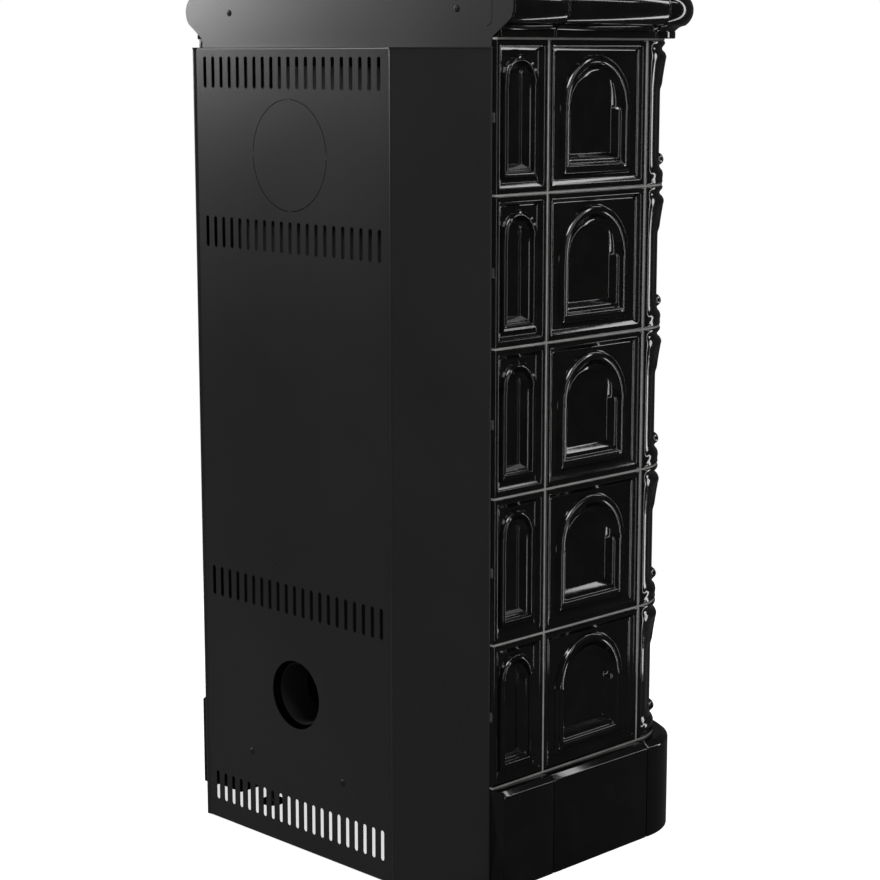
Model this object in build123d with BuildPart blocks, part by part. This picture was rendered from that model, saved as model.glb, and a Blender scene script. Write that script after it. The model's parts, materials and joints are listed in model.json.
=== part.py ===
from build123d import *
import os
from math import atan2, cos, degrees, hypot, radians, sin, sqrt

# Tile-clad wood stove. Z is up, the back faces +Y, the fire door faces -Y, X = 0 is the middle.
# Depths run forward from the back face of the casing, heights run up from the floor, all in mm.

# Ceramic cladding
tile_module = 220.0
tile_joint = 3.0
tile_rows = 5
tile_plate = 8.0
tile_depth = 40.0
tile_rump_inset = 12.0
tile_rump_wall = 9.0
tile_border = 7.0
tile_border_slope = 10.0
tile_field = 6.5
tile_floor = 17.0
cladding_half_width = 332.5
cladding_rear = 98.5
corner_radius = 90.0
corner_side_leg = 97.3
corner_shaft_recess = 6.5

# Arch moulding on the tiles
arch_margin = 20.5
arch_half = 77.0
arch_roll = 16.0
arch_niche_half = 45.0
slim_arch_half = 35.0
slim_arch_roll = 12.0
slim_niche_half = 16.0

# Plinth
tile_bottom = 156.0
plinth_proud = 24.0
plinth_wall = 14.0
plinth_flange = 12.5
plinth_bevel = (10.0, 7.5)
plinth_joint = 1.5

# Crown moulding
crown_proud = 6.5
crown_neck = 10.5
crown_roll_radius = 28.0
crown_roll_out = 5.5
crown_roll_height = 42.5
crown_top_rise = 12.0
crown_inner_reach = 60.0
crown_wall = 12.0
crown_flange = 14.0
crown_corner_radius = 75.0
crown_joint_shift = (6.0, 12.0)
crown_joint = 1.5

# Rear casing
sheet = 2.0
casing_half_width = 323.5
casing_chamfer = 102.0
casing_top = 1244.0
casing_clearance = 2.0
casing_return = 60.0
casing_bend = 3.0
slot_count = 21
slot_pitch = 19.56
slot_width = 5.0
slot_length = 48.0
slot_rows = (1206.8, 962.3, 401.8, 57.0)
knockout_radius = 83.4
knockout_height = 1085.0
knockout_kerf = 0.8
knockout_tabs = 4
knockout_tab = 8.0
inlet_radius = 54.5
inlet_height = 251.0
crown_screw_x = 254.0
crown_screw_height = 1298.0
casing_screw_x = 108.0
casing_screw_height = 135.0
chamfer_screw_depth = 45.0
chamfer_screw_height = 133.0
screw_radius = 2.5
screw_head = 5.0
screw_head_height = 2.6

# Inner body
body_half_width = 230.0
body_rear = 62.0
body_front = 482.0
body_bottom = 160.0
body_top = 1215.0
body_wall = 4.0
panel_half_width = 263.5
panel_sheet = 1.5
panel_front = 480.0
frame_rail = 30.0
frame_height = 50.0
rear_rail_depth = 96.0
front_rail_depth = 430.0
foot_x = 190.0
foot_inset = 15.0
foot_pad_radius = 18.0
foot_pad_height = 5.0
foot_rod_radius = 5.0

# Flue and air
flue_outer = 74.5
flue_wall = 3.0
flue_rise = 49.0
flue_hole_gap = 5.0
spigot_outer = 49.5
spigot_wall = 2.0
spigot_recess = 12.0
stub_recess = 22.0

# Firebox lining
brick = 30.0
lining_gap = 0.5
grate_height = 340.0
grate_thick = 8.0
grate_half_width = 95.0
grate_depths = (180.0, 400.0)
baffle_height = 790.0
baffle_thick = 25.0
baffle_throat = 78.0
deflector_height = 940.0

# Front
front_sheet = 3.0
rim_half_width = 218.5
rim_front = 522.0
mouth_half = 152.0
door_half_width = 193.0
door_bottom = 390.0
door_top = 768.0
door_back = 493.0
door_front = 516.0
door_window_inset = 56.0
door_bevel = 6.0
rope_inset = 26.0
rope_width = 12.0
glass_thick = 4.0
glass_gap = 5.0
running_gap = 0.3
hinge_axis = (203.0, 512.0)
hinge_radius = 9.5
hinge_length = 28.0
hinge_heights = (450.0, 680.0)
pin_radius = 4.0
pin_clearance = 0.05
latch_x = 181.0
latch_radius = 5.0
latch_reach = 28.0
latch_angle = 60.0
lever_length = 110.0
lever_reach = 32.0
lever_radius = 7.0
lever_grip = 30.0

# Ash drawer
drawer_half_width = 128.0
drawer_bottom = 172.0
drawer_height = 112.0
drawer_rear = 110.0
drawer_wall = 1.5
drawer_front_overlap = 22.0
drawer_mouth_gap = 4.0
runner_width = 18.0

# Air sliders and shaker
slider_height = 28.0
slider_sheet = 3.0
primary_x = -75.0
primary_half = 75.0
primary_height = 332.0
secondary_x = 0.0
secondary_half = 80.0
secondary_height = 792.0
knob_radius = 9.0
shaker_x = 75.0
shaker_rod_radius = 4.0
shaker_hole_gap = 0.5

# Places worked out from the sizes above
plate_rear = cladding_rear + tile_module / 2
joint_depths = (plate_rear, plate_rear + tile_module)
cladding_front = joint_depths[1] + tile_joint / 2 + corner_side_leg
crown_outer = crown_roll_out + crown_roll_radius
overall_depth = cladding_front + crown_outer
rear_y = (overall_depth - screw_head_height) / 2
front_y = rear_y - cladding_front
corner_x = cladding_half_width - corner_radius
corner_depth = cladding_front - corner_radius
tile_face = tile_module - tile_joint
half_tile_face = (tile_module - tile_joint) / 2
tile_top = tile_bottom + tile_rows * tile_module
row_centers = [tile_bottom + (row + 0.5) * tile_module for row in range(tile_rows)]
door_rows = 3
rim_bottom = tile_bottom + tile_joint / 2
rim_top = tile_bottom + door_rows * tile_module - tile_joint / 2
plinth_top = tile_bottom - tile_joint / 2
crown_bottom = tile_top + tile_joint / 2
crown_top = crown_bottom + crown_roll_height + crown_roll_radius + crown_top_rise
top_plate_top = crown_top - crown_flange
top_plate_bottom = top_plate_top - body_wall
flue_top = top_plate_top + flue_rise
casing_front = casing_chamfer
lever_depth = door_front + lever_reach
rump_back = cladding_front - tile_depth
face_plate_front = body_front + front_sheet


def y_at(depth):
    return rear_y - depth


def block(x, depth, z, mode=Mode.ADD):
    # A cuboid between two limits each way, its depths counted from the back face.
    with Locations(((x[0] + x[1]) / 2, y_at((depth[0] + depth[1]) / 2), (z[0] + z[1]) / 2)):
        Box(x[1] - x[0], depth[1] - depth[0], z[1] - z[0], mode=mode)


def rod(x, z, depth, radius, mode=Mode.ADD):
    # A cylinder along the stove's depth.
    with Locations((x, y_at((depth[0] + depth[1]) / 2), z)):
        Cylinder(radius, depth[1] - depth[0], rotation=(90, 0, 0), mode=mode)


def post(x, depth, z, radius, mode=Mode.ADD):
    # An upright cylinder.
    with Locations((x, y_at(depth), (z[0] + z[1]) / 2)):
        Cylinder(radius, z[1] - z[0], mode=mode)


def save(piece, label):
    piece.label = label
    export_step(piece, f"parts/{label}.step")


def save_both_sides(piece, label):
    # The piece is modelled on the +X side, and its node also holds its mirror image on the other side.
    with BuildPart() as pair:
        add(piece)
        mirror(about=Plane.YZ)
    save(pair.part, label)


def side_plane(depth, z):
    return Plane(origin=(cladding_half_width, y_at(depth), z), x_dir=(0, 1, 0), z_dir=(1, 0, 0))


def front_section(x):
    # The plane of a section across the front wall: x forward from the tile face, y up, run towards -X.
    return Plane(origin=(x, front_y, 0), x_dir=(0, -1, 0), z_dir=(-1, 0, 0))


def front_plane(x, z):
    return Plane(origin=(x, front_y, z), x_dir=(1, 0, 0), z_dir=(0, -1, 0))


def arch_sketch(half, base, spring):
    # A round-headed arch: straight jambs from the base to the spring line, then a half circle.
    with BuildSketch() as arch:
        with BuildLine():
            jambs = Polyline((-half, spring), (-half, base), (half, base), (half, spring))
            ThreePointArc(jambs @ 1, (0, spring + half), jambs @ 0)
        make_face()
    return arch.sketch


def arch_tile(width, half, roll, niche_half):
    # One tile in its own frame: X along the wall, Y up, Z out of the wall with the face at 0.
    height = tile_face
    spring = height / 2 - arch_margin - half
    base = -height / 2 + arch_margin

    def ring(inset, level):
        return Pos(0, 0, level) * arch_sketch(half - inset, base + inset, spring)

    roll_edge = roll / 4
    splay = half - niche_half
    field_cut = loft([
        Rectangle(width - 2 * tile_border, height - 2 * tile_border),
        Pos(0, 0, -tile_field) * Rectangle(
            width - 2 * (tile_border + tile_border_slope),
            height - 2 * (tile_border + tile_border_slope),
        ),
    ])
    band = loft([ring(0, -tile_field), ring(roll_edge, -1.5)], ruled=True)
    splay_cut = loft([ring(roll - roll_edge, -1.5), ring(roll, -tile_field - 1)], ruled=True)
    niche_cut = loft([ring(roll, -tile_field - 1), ring(splay, -tile_floor)], ruled=True)
    rump_width = width - 2 * tile_rump_inset
    rump_height = height - 2 * tile_rump_inset
    with BuildPart() as tile:
        with BuildSketch(Plane.XY.offset(-tile_plate)):
            Rectangle(width, height)
        extrude(amount=tile_plate)
        with BuildSketch(Plane.XY.offset(-tile_depth)):
            Rectangle(rump_width, rump_height)
        extrude(amount=tile_depth - tile_plate)
        with BuildSketch(Plane.XY.offset(-tile_depth)):
            Rectangle(rump_width - 2 * tile_rump_wall, rump_height - 2 * tile_rump_wall)
        extrude(amount=tile_depth - tile_floor - tile_plate, mode=Mode.SUBTRACT)
        add(field_cut, mode=Mode.SUBTRACT)
        add(band)
        add(splay_cut, mode=Mode.SUBTRACT)
        add(niche_cut, mode=Mode.SUBTRACT)
    return tile.part


os.makedirs("parts", exist_ok=True)

# Wide and slim tiles of the side walls and the upper front
wide_tile = arch_tile(tile_face, arch_half, arch_roll, arch_niche_half)
slim_tile = arch_tile(half_tile_face, slim_arch_half, slim_arch_roll, slim_niche_half)
wide_center = plate_rear + tile_module / 2
slim_center = cladding_rear + half_tile_face / 2

with BuildPart() as wide_tiles:
    for row_z in row_centers:
        add(side_plane(wide_center, row_z).location * wide_tile)
save_both_sides(wide_tiles.part, "wide_tiles")

with BuildPart() as slim_tiles:
    for row_z in row_centers:
        add(side_plane(slim_center, row_z).location * slim_tile)
save_both_sides(slim_tiles.part, "slim_tiles")

with BuildPart() as front_tiles:
    for row_z in row_centers[door_rows:]:
        for tile_x in (-tile_module / 2, tile_module / 2):
            add(front_plane(tile_x, row_z).location * wide_tile)
save(front_tiles.part, "front_tiles")

# Corner tiles: a turned quarter column between two short flat legs
front_leg_x = tile_module + tile_joint / 2
side_leg_depth = joint_depths[1] + tile_joint / 2
shaft_radius = corner_radius - corner_shaft_recess
inner_radius = corner_radius - tile_depth
column_axis = Axis((corner_x, y_at(corner_depth), 0), (0, 0, 1))
column_plane = Plane(origin=(corner_x, y_at(corner_depth), 0), x_dir=(1, 0, 0), z_dir=(0, -1, 0))


def on_diagonal(radial, z):
    # A point on the corner's diagonal, at a radius from the column's axis.
    return (corner_x + radial * cos(radians(45)), y_at(corner_depth) - radial * sin(radians(45)), z)


leaf_radius = (9.5, 3.5)
leaf_drop = (22.0, 74.0)
leaf = loft([
    Pos(*on_diagonal(shaft_radius - 3, tile_face - leaf_drop[0])) * RegularPolygon(leaf_radius[0], 6),
    Pos(*on_diagonal(shaft_radius - 3, tile_face - leaf_drop[1])) * RegularPolygon(leaf_radius[1], 6),
])
bud_height = 37.0
bud_rings = ((-8.0, 3.5), (-3.0, 8.0), (3.0, 8.0), (8.0, 3.5))
bud = loft(
    [Pos(*on_diagonal(shaft_radius, bud_height + rise)) * RegularPolygon(radius, 6) for rise, radius in bud_rings],
    ruled=True,
)
side_leg = (cladding_half_width - tile_plate, cladding_half_width)
with BuildPart() as corner_tile:
    with BuildSketch(column_plane):
        with BuildLine():
            Polyline(
                (inner_radius, 0),
                (corner_radius, 0),
                (corner_radius, 12),
                (shaft_radius + 1, 18),
                (shaft_radius, 30),
                (shaft_radius, tile_face - 22),
                (shaft_radius + 2, tile_face - 13),
                (corner_radius, tile_face - 7),
                (corner_radius, tile_face),
                (inner_radius, tile_face),
                close=True,
            )
        make_face()
    revolve(axis=column_axis, revolution_arc=-90)
    block(side_leg, (side_leg_depth, corner_depth), (0, tile_face))
    block((front_leg_x, corner_x), (cladding_front - tile_plate, cladding_front), (0, tile_face))
    block((front_leg_x + tile_rump_inset, corner_x), (rump_back, cladding_front - tile_plate), (0, tile_face))
    add(leaf)
    add(bud)

with BuildPart() as corner_tiles:
    for row in range(tile_rows):
        add(Pos(0, 0, tile_bottom + row * tile_module + tile_joint / 2) * corner_tile.part)
save_both_sides(corner_tiles.part, "corner_tiles")

# Grout: one net of joints on each side wall and its corner, and one between the front tiles
grout_face = 1.0
grout_depth = tile_plate - grout_face


grout_side = (cladding_half_width - tile_plate, cladding_half_width - grout_face)
grout_front = (cladding_front - tile_plate, cladding_front - grout_face)
with BuildPart() as joint_strip:
    with BuildSketch(Plane(origin=(corner_x, y_at(corner_depth), -tile_joint / 2))):
        Circle(corner_radius - grout_face)
        Circle(corner_radius - tile_plate, mode=Mode.SUBTRACT)
        Rectangle(corner_radius, corner_radius, align=(Align.MIN, Align.MAX), mode=Mode.INTERSECT)
    extrude(amount=tile_joint)
    block(grout_side, (cladding_rear, corner_depth), (-tile_joint / 2, tile_joint / 2))
    block((tile_module - tile_joint / 2, corner_x), grout_front, (-tile_joint / 2, tile_joint / 2))

joint_heights = [tile_bottom + row * tile_module for row in range(tile_rows + 1)]
with BuildPart() as grout:
    for height in joint_heights:
        add(Pos(0, 0, height) * joint_strip.part)
    for depth in joint_depths:
        block(grout_side, (depth - tile_joint / 2, depth + tile_joint / 2), (plinth_top, crown_bottom))
    block((tile_module - tile_joint / 2, tile_module + tile_joint / 2), grout_front, (plinth_top, crown_bottom))
    mirror(about=Plane.YZ)
    for height in joint_heights[door_rows:]:
        block((-tile_module, tile_module), grout_front, (height - tile_joint / 2, height + tile_joint / 2))
    block((-tile_joint / 2, tile_joint / 2), grout_front, (joint_heights[door_rows], crown_bottom))
save(grout.part, "tile_grout")

# Plinth: glazed blocks under the tiles, with a bevelled ledge
ledge = plinth_proud - plinth_bevel[0]
plinth_profile = [
    (plinth_proud, 0),
    (plinth_proud, plinth_top - plinth_bevel[1]),
    (ledge, plinth_top),
    (-tile_depth, plinth_top),
    (-tile_depth, plinth_top - plinth_flange),
    (plinth_proud - plinth_wall, plinth_top - plinth_flange),
    (plinth_proud - plinth_wall, 0),
]
side_section = Plane(origin=(cladding_half_width, 0, 0), x_dir=(1, 0, 0), z_dir=(0, -1, 0))
rear_relief = casing_front + sheet


def plinth_run(start, end):
    # A straight plinth piece along the side wall between two depths.
    with BuildPart() as run:
        with BuildSketch(side_section.offset(-y_at(start))):
            with BuildLine():
                Polyline(*plinth_profile, close=True)
            make_face()
        extrude(amount=end - start)
        block(
            (cladding_half_width - tile_depth - 1, cladding_half_width - tile_plate),
            (start - 1, max(start, rear_relief)),
            (0, plinth_top + 1),
            Mode.SUBTRACT,
        )
    return run.part


save_both_sides(plinth_run(cladding_rear, joint_depths[0] - plinth_joint / 2), "plinth_short")
save_both_sides(plinth_run(joint_depths[0] + plinth_joint / 2, joint_depths[1] - plinth_joint / 2), "plinth_long")

with BuildPart() as plinth_corner:
    with BuildSketch(column_plane):
        with BuildLine():
            Polyline(*[(corner_radius + out, z) for out, z in plinth_profile], close=True)
        make_face()
    revolve(axis=column_axis, revolution_arc=-90)
    with BuildSketch(side_section.offset(-y_at(joint_depths[1] + plinth_joint / 2))):
        with BuildLine():
            Polyline(*plinth_profile, close=True)
        make_face()
    extrude(amount=corner_depth - joint_depths[1] - plinth_joint / 2)
    with BuildSketch(front_section(corner_x)):
        with BuildLine():
            Polyline(*plinth_profile, close=True)
        make_face()
    extrude(amount=corner_x - tile_module - plinth_joint / 2)
save_both_sides(plinth_corner.part, "plinth_corner")

with BuildPart() as plinth_front:
    for end in (-plinth_joint / 2, tile_module - plinth_joint / 2):
        with BuildSketch(front_section(end)):
            with BuildLine():
                Polyline(*plinth_profile, close=True)
            make_face()
        extrude(amount=tile_module - plinth_joint)
save(plinth_front.part, "plinth_front")

# Crown: a neck band, a splay and a large roll under a flat top
roll_out = crown_roll_out
roll_z = crown_bottom + crown_roll_height
tangent = (roll_out + crown_roll_radius * cos(radians(-52)), roll_z + crown_roll_radius * sin(radians(-52)))
inner = crown_proud - crown_wall


def crown_sketch(base):
    # The crown's section, x outward from the tile face shifted by base, y the height.
    with BuildSketch() as section:
        with BuildLine():
            foot = Polyline((base + inner, crown_bottom), (base + crown_proud, crown_bottom),
                            (base + crown_proud, crown_bottom + crown_neck), (base + tangent[0], tangent[1]))
            roll = ThreePointArc(foot @ 1, (base + crown_outer, roll_z), (base + roll_out, roll_z + crown_roll_radius))
            Polyline(
                roll @ 1,
                (base + roll_out - 8, roll_z + crown_roll_radius),
                (base + roll_out - 20, crown_top),
                (base - crown_inner_reach, crown_top),
                (base - crown_inner_reach, crown_top - crown_flange),
                (base + inner - 8, crown_top - crown_flange),
                (base + roll_out + 6, roll_z + crown_wall),
                (base + roll_out + crown_roll_radius - crown_wall, roll_z),
                (base + roll_out + 6, roll_z - crown_wall),
                (base + inner, crown_bottom + crown_neck + 8),
                foot @ 0,
            )
        make_face()
    return section.sketch


def crown_run(start, end):
    section = Plane(origin=(cladding_half_width, y_at(start), 0), x_dir=(1, 0, 0), z_dir=(0, -1, 0))
    with BuildPart() as run:
        with BuildSketch(section):
            add(crown_sketch(0))
        extrude(amount=end - start)
    return run.part


crown_rear = casing_front - sheet + running_gap
crown_joints = (joint_depths[0] + crown_joint_shift[0], joint_depths[1] + crown_joint_shift[1])
save_both_sides(crown_run(crown_rear, crown_joints[0] - crown_joint / 2), "crown_short")
save_both_sides(crown_run(crown_joints[0] + crown_joint / 2, crown_joints[1] - crown_joint / 2), "crown_long")

crown_corner_x = cladding_half_width + crown_proud - crown_corner_radius
crown_corner_depth = cladding_front + crown_proud - crown_corner_radius
crown_front_x = tile_module + crown_joint_shift[0]
crown_plane = Plane(origin=(crown_corner_x, y_at(crown_corner_depth), 0), x_dir=(1, 0, 0), z_dir=(0, -1, 0))
crown_corner_side = crown_run(crown_joints[1] + crown_joint / 2, crown_corner_depth)
with BuildPart() as crown_corner:
    with BuildSketch(crown_plane):
        add(crown_sketch(crown_corner_radius - crown_proud))
    revolve(axis=Axis((crown_corner_x, y_at(crown_corner_depth), 0), (0, 0, 1)), revolution_arc=-90)
    add(crown_corner_side)
    with BuildSketch(front_section(crown_corner_x)):
        add(crown_sketch(0))
    extrude(amount=crown_corner_x - crown_front_x - crown_joint / 2)
save_both_sides(crown_corner.part, "crown_corner")

with BuildPart() as crown_front:
    for end in (-crown_joint / 2, crown_front_x - crown_joint / 2):
        with BuildSketch(front_section(end)):
            add(crown_sketch(0))
        extrude(amount=crown_front_x - crown_joint)
save(crown_front.part, "crown_front")

# Rear casing: one folded sheet with its slots, the flue knock-out and the air hole
# The bend rounds the sharp fold off, so its corner lies outside the width that the casing reaches.
back_half = casing_half_width - casing_chamfer
return_inner = casing_half_width - casing_return
casing_corner = casing_half_width + casing_bend * sqrt(2)
chamfer_run = (casing_corner - back_half) / casing_chamfer
sheet_across = sheet * hypot(1, chamfer_run)
chamfer_turn = degrees(atan2(1, chamfer_run))
chamfer_screw_x = back_half + chamfer_screw_depth * chamfer_run
slot_corner = slot_width * 0.3
with BuildPart() as rear_casing:
    with BuildSketch(Plane.XY.offset(casing_clearance)):
        with BuildLine():
            FilletPolyline(
                (-return_inner, y_at(casing_front)),
                (-casing_corner, y_at(casing_front)),
                (-back_half, y_at(0)),
                (back_half, y_at(0)),
                (casing_corner, y_at(casing_front)),
                (return_inner, y_at(casing_front)),
                radius=casing_bend,
            )
            Line((return_inner, y_at(casing_front)), (-return_inner, y_at(casing_front)))
        make_face()
    extrude(amount=casing_top - casing_clearance)
    with BuildSketch(Plane.XY.offset(casing_clearance)):
        with BuildLine():
            inner_back = back_half + sheet * chamfer_run - sheet_across
            inner_corner = casing_corner - sheet * chamfer_run - sheet_across
            FilletPolyline(
                (-inner_corner, y_at(casing_front - sheet)),
                (-inner_back, y_at(sheet)),
                (inner_back, y_at(sheet)),
                (inner_corner, y_at(casing_front - sheet)),
                radius=casing_bend - sheet,
                close=True,
            )
        make_face()
    extrude(amount=casing_top - casing_clearance - sheet, mode=Mode.SUBTRACT)
    block(
        (-return_inner, return_inner),
        (casing_front - sheet - 1, casing_front + 1),
        (casing_clearance, casing_top - sheet),
        Mode.SUBTRACT,
    )
    with BuildSketch(Plane(origin=(0, rear_y, 0), x_dir=(-1, 0, 0), z_dir=(0, 1, 0))) as slots:
        for slot_height in slot_rows:
            with Locations((0, slot_height)):
                with GridLocations(slot_pitch, 0, slot_count, 1):
                    Rectangle(slot_width, slot_length)
        chamfer(slots.vertices(), slot_corner)
        with Locations((0, inlet_height)):
            Circle(inlet_radius)
        with Locations((-casing_screw_x, casing_screw_height), (casing_screw_x, casing_screw_height)):
            Circle(screw_radius)
        with Locations((0, knockout_height)):
            Circle(knockout_radius)
            Circle(knockout_radius - knockout_kerf, mode=Mode.SUBTRACT)
            with PolarLocations(knockout_radius, knockout_tabs, start_angle=90):
                Rectangle(4 * knockout_kerf, knockout_tab, mode=Mode.SUBTRACT)
    extrude(amount=-sheet, mode=Mode.SUBTRACT)
    for side in (-1, 1):
        place = (side * chamfer_screw_x, y_at(chamfer_screw_depth), chamfer_screw_height)
        with Locations(Location(place, (-90, side * chamfer_turn, 0))):
            Cylinder(screw_radius, 3 * sheet, mode=Mode.SUBTRACT)
save(rear_casing.part, "rear_casing")

# Crown plate: the flat sheet that closes the crown at the back, cut to the crown's outline
plate_gap = 1.5
plate_neck = cladding_half_width - 9.5
with BuildPart() as crown_plate:
    with BuildSketch(Plane(origin=(0, y_at(casing_front - sheet), 0), x_dir=(1, 0, 0), z_dir=(0, -1, 0))):
        with BuildLine():
            roll_x = cladding_half_width + roll_out
            plate_roll = crown_roll_radius - plate_gap
            edge = Polyline(
                (0, casing_top),
                (plate_neck, casing_top),
                (plate_neck, crown_bottom),
                (roll_x + plate_roll * cos(radians(-45)), roll_z + plate_roll * sin(radians(-45))),
            )
            roll = ThreePointArc(edge @ 1, (roll_x + plate_roll, roll_z), (roll_x, roll_z + plate_roll))
            Polyline(
                roll @ 1,
                (roll_x - 8, roll_z + plate_roll),
                (roll_x - 20, crown_top - plate_gap),
                (0, crown_top - plate_gap),
                edge @ 0,
            )
        make_face()
        mirror(about=Plane.YZ)
        with Locations((-crown_screw_x, crown_screw_height), (crown_screw_x, crown_screw_height)):
            Circle(screw_radius, mode=Mode.SUBTRACT)
    extrude(amount=-sheet)
save(crown_plate.part, "crown_back_plate")

# Screws of the casing and of the crown plate
def screw(x, depth, z, length, turn=0):
    place = Location((x, y_at(depth), z), (-90, turn, 0))
    with Locations(place):
        Cylinder(screw_head, screw_head_height, align=(Align.CENTER, Align.CENTER, Align.MIN))
        Cylinder(screw_radius, length, align=(Align.CENTER, Align.CENTER, Align.MAX))


with BuildPart() as screws:
    for side in (-1, 1):
        screw(side * casing_screw_x, 0, casing_screw_height, sheet + 10)
        screw(side * crown_screw_x, casing_front - 2 * sheet, crown_screw_height, 2 * sheet + 4)
        screw(side * chamfer_screw_x, chamfer_screw_depth, chamfer_screw_height, sheet + 6, side * chamfer_turn)
save(screws.part, "casing_screws")

# Inner body: welded steel box with the fire mouth, the ash mouth and the air and flue openings
mouth_bottom = door_bottom + rope_inset + rope_width + 3
mouth_top = door_top - rope_inset - rope_width - 3
drawer_mouth = drawer_half_width + drawer_mouth_gap
drawer_top = drawer_bottom + drawer_height
ash_mouth = (drawer_bottom - 2, drawer_top + drawer_mouth_gap)
ledge_width = 20.0
ledge_height = 8.0
rod_z = grate_height - running_gap - shaker_rod_radius - 1
body_inner = body_half_width - body_wall


def front_openings(depths):
    # The openings that the body's front and the front frame share.
    block((-mouth_half, mouth_half), depths, (mouth_bottom, mouth_top), Mode.SUBTRACT)
    block((-drawer_mouth, drawer_mouth), depths, ash_mouth, Mode.SUBTRACT)
    rod(shaker_x, rod_z, depths, shaker_rod_radius + shaker_hole_gap, Mode.SUBTRACT)
    for slider_x, height in ((primary_x, primary_height), (secondary_x, secondary_height)):
        for step in (-45, -15, 15, 45):
            center = slider_x + step
            block((center - 5, center + 5), depths, (height - 7, height + 7), Mode.SUBTRACT)


with BuildPart() as body:
    block((-body_half_width, body_half_width), (body_rear, body_front), (body_bottom, body_top))
    block(
        (-body_inner, body_inner),
        (body_rear + body_wall, body_front - body_wall),
        (body_bottom + body_wall, body_top - body_wall),
        Mode.SUBTRACT,
    )
    front_openings((body_front - body_wall, body_front))
    rod(0, inlet_height, (body_rear, body_rear + body_wall), spigot_outer - spigot_wall, Mode.SUBTRACT)
    rod(0, knockout_height, (body_rear, body_rear + body_wall), flue_outer - flue_wall, Mode.SUBTRACT)
    post(0, (body_rear + body_front) / 2, (body_top - body_wall, body_top), flue_outer - flue_wall, Mode.SUBTRACT)
    for side in (-1, 1):
        for low in (grate_height - ledge_height, deflector_height - ledge_height):
            edge = sorted((side * (body_inner - ledge_width), side * body_inner))
            block(edge, (body_rear + body_wall, body_front - body_wall), (low, low + ledge_height))
save(body.part, "firebox_body")

flue_depth = (body_rear + body_front) / 2
with BuildPart() as flue_collar:
    post(0, flue_depth, (body_top, body_top + body_wall), flue_outer + 20)
    post(0, flue_depth, (body_top + body_wall, flue_top), flue_outer)
    post(0, flue_depth, (body_top, flue_top), flue_outer - flue_wall, Mode.SUBTRACT)
save(flue_collar.part, "flue_collar")

with BuildPart() as rear_stub:
    rod(0, knockout_height, (stub_recess, body_rear), flue_outer)
    rod(0, knockout_height, (stub_recess, body_rear), flue_outer - flue_wall, Mode.SUBTRACT)
save(rear_stub.part, "rear_flue_stub")

with BuildPart() as rear_cap:
    rod(0, knockout_height, (stub_recess, stub_recess + sheet), flue_outer - flue_wall)
    rod(0, knockout_height, (stub_recess + sheet, stub_recess + 15), flue_outer - flue_wall)
    rod(0, knockout_height, (stub_recess + sheet, stub_recess + 15), flue_outer - flue_wall - sheet, Mode.SUBTRACT)
save(rear_cap.part, "rear_flue_cap")

with BuildPart() as spigot:
    rod(0, inlet_height, (spigot_recess, body_rear), spigot_outer)
    rod(0, inlet_height, (spigot_recess, body_rear), spigot_outer - spigot_wall, Mode.SUBTRACT)
save(spigot.part, "air_spigot")

# Heat shield between the body and the casing, on four spacers
shield_depth = 30.0
shield_top = knockout_height - flue_outer - 20
shield_bottom = inlet_height + spigot_outer + 25
with BuildPart() as shield:
    block((-210, 210), (shield_depth, shield_depth + 1), (shield_bottom, shield_top))
save(shield.part, "heat_shield")
with BuildPart() as spacers:
    for side in (-1, 1):
        for height in (shield_bottom + 60, shield_top - 60):
            rod(side * 150, height, (shield_depth + 1, body_rear), 8)
save(spacers.part, "shield_spacers")

# Convection panels at the sides, the top plate and the posts behind the tiles
panel_inner = panel_half_width - panel_sheet
with BuildPart() as panel:
    block((panel_inner, panel_half_width), (casing_front, panel_front), (casing_clearance, top_plate_bottom))
    block(
        (panel_half_width, cladding_half_width - tile_depth - 2),
        (casing_front, casing_front + panel_sheet),
        (casing_clearance, casing_top),
    )
save_both_sides(panel.part, "side_panels")

top_plate_half = crown_inner_reach / 2 + 270
plate_front = cladding_front - crown_inner_reach / 2
crown_plate_front = casing_front - sheet
flange_half = panel_inner - 1
with BuildPart() as top_plate:
    block(
        (-top_plate_half, top_plate_half),
        (crown_plate_front, plate_front),
        (top_plate_bottom, top_plate_top),
    )
    block((-flange_half, flange_half), (crown_plate_front, casing_front), (casing_top, top_plate_bottom))
    post(0, flue_depth, (top_plate_bottom, top_plate_top), flue_outer + flue_hole_gap, Mode.SUBTRACT)
    for slot_x in (-190, -150, 150, 190):
        block((slot_x - 8, slot_x + 8), (200, 400), (top_plate_bottom, top_plate_top), Mode.SUBTRACT)
    for side in (-1, 1):
        rod(side * crown_screw_x, crown_screw_height, (crown_plate_front, casing_front), screw_radius, Mode.SUBTRACT)
save(top_plate.part, "top_plate")

rail_half = 20.0
post_spans = (
    (joint_depths[0] - rail_half, joint_depths[0] + rail_half),
    (joint_depths[1] - rail_half, corner_depth - 0.5),
)
post_web = cladding_half_width - tile_depth
with BuildPart() as posts:
    for start, end in post_spans:
        block((panel_half_width, post_web), (start, end), (tile_bottom, tile_top))
        block((panel_half_width, post_web - sheet), (start + sheet, end - sheet), (tile_bottom, tile_top), Mode.SUBTRACT)
    block((rim_half_width + 0.5, tile_module + 22), (body_front, rump_back), (rim_bottom, crown_bottom - 5))
    mirror(about=Plane.YZ)
    block((-rail_half, rail_half), (body_front, rump_back), (rim_top + 10, body_top))
save(posts.part, "tile_posts")

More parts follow.
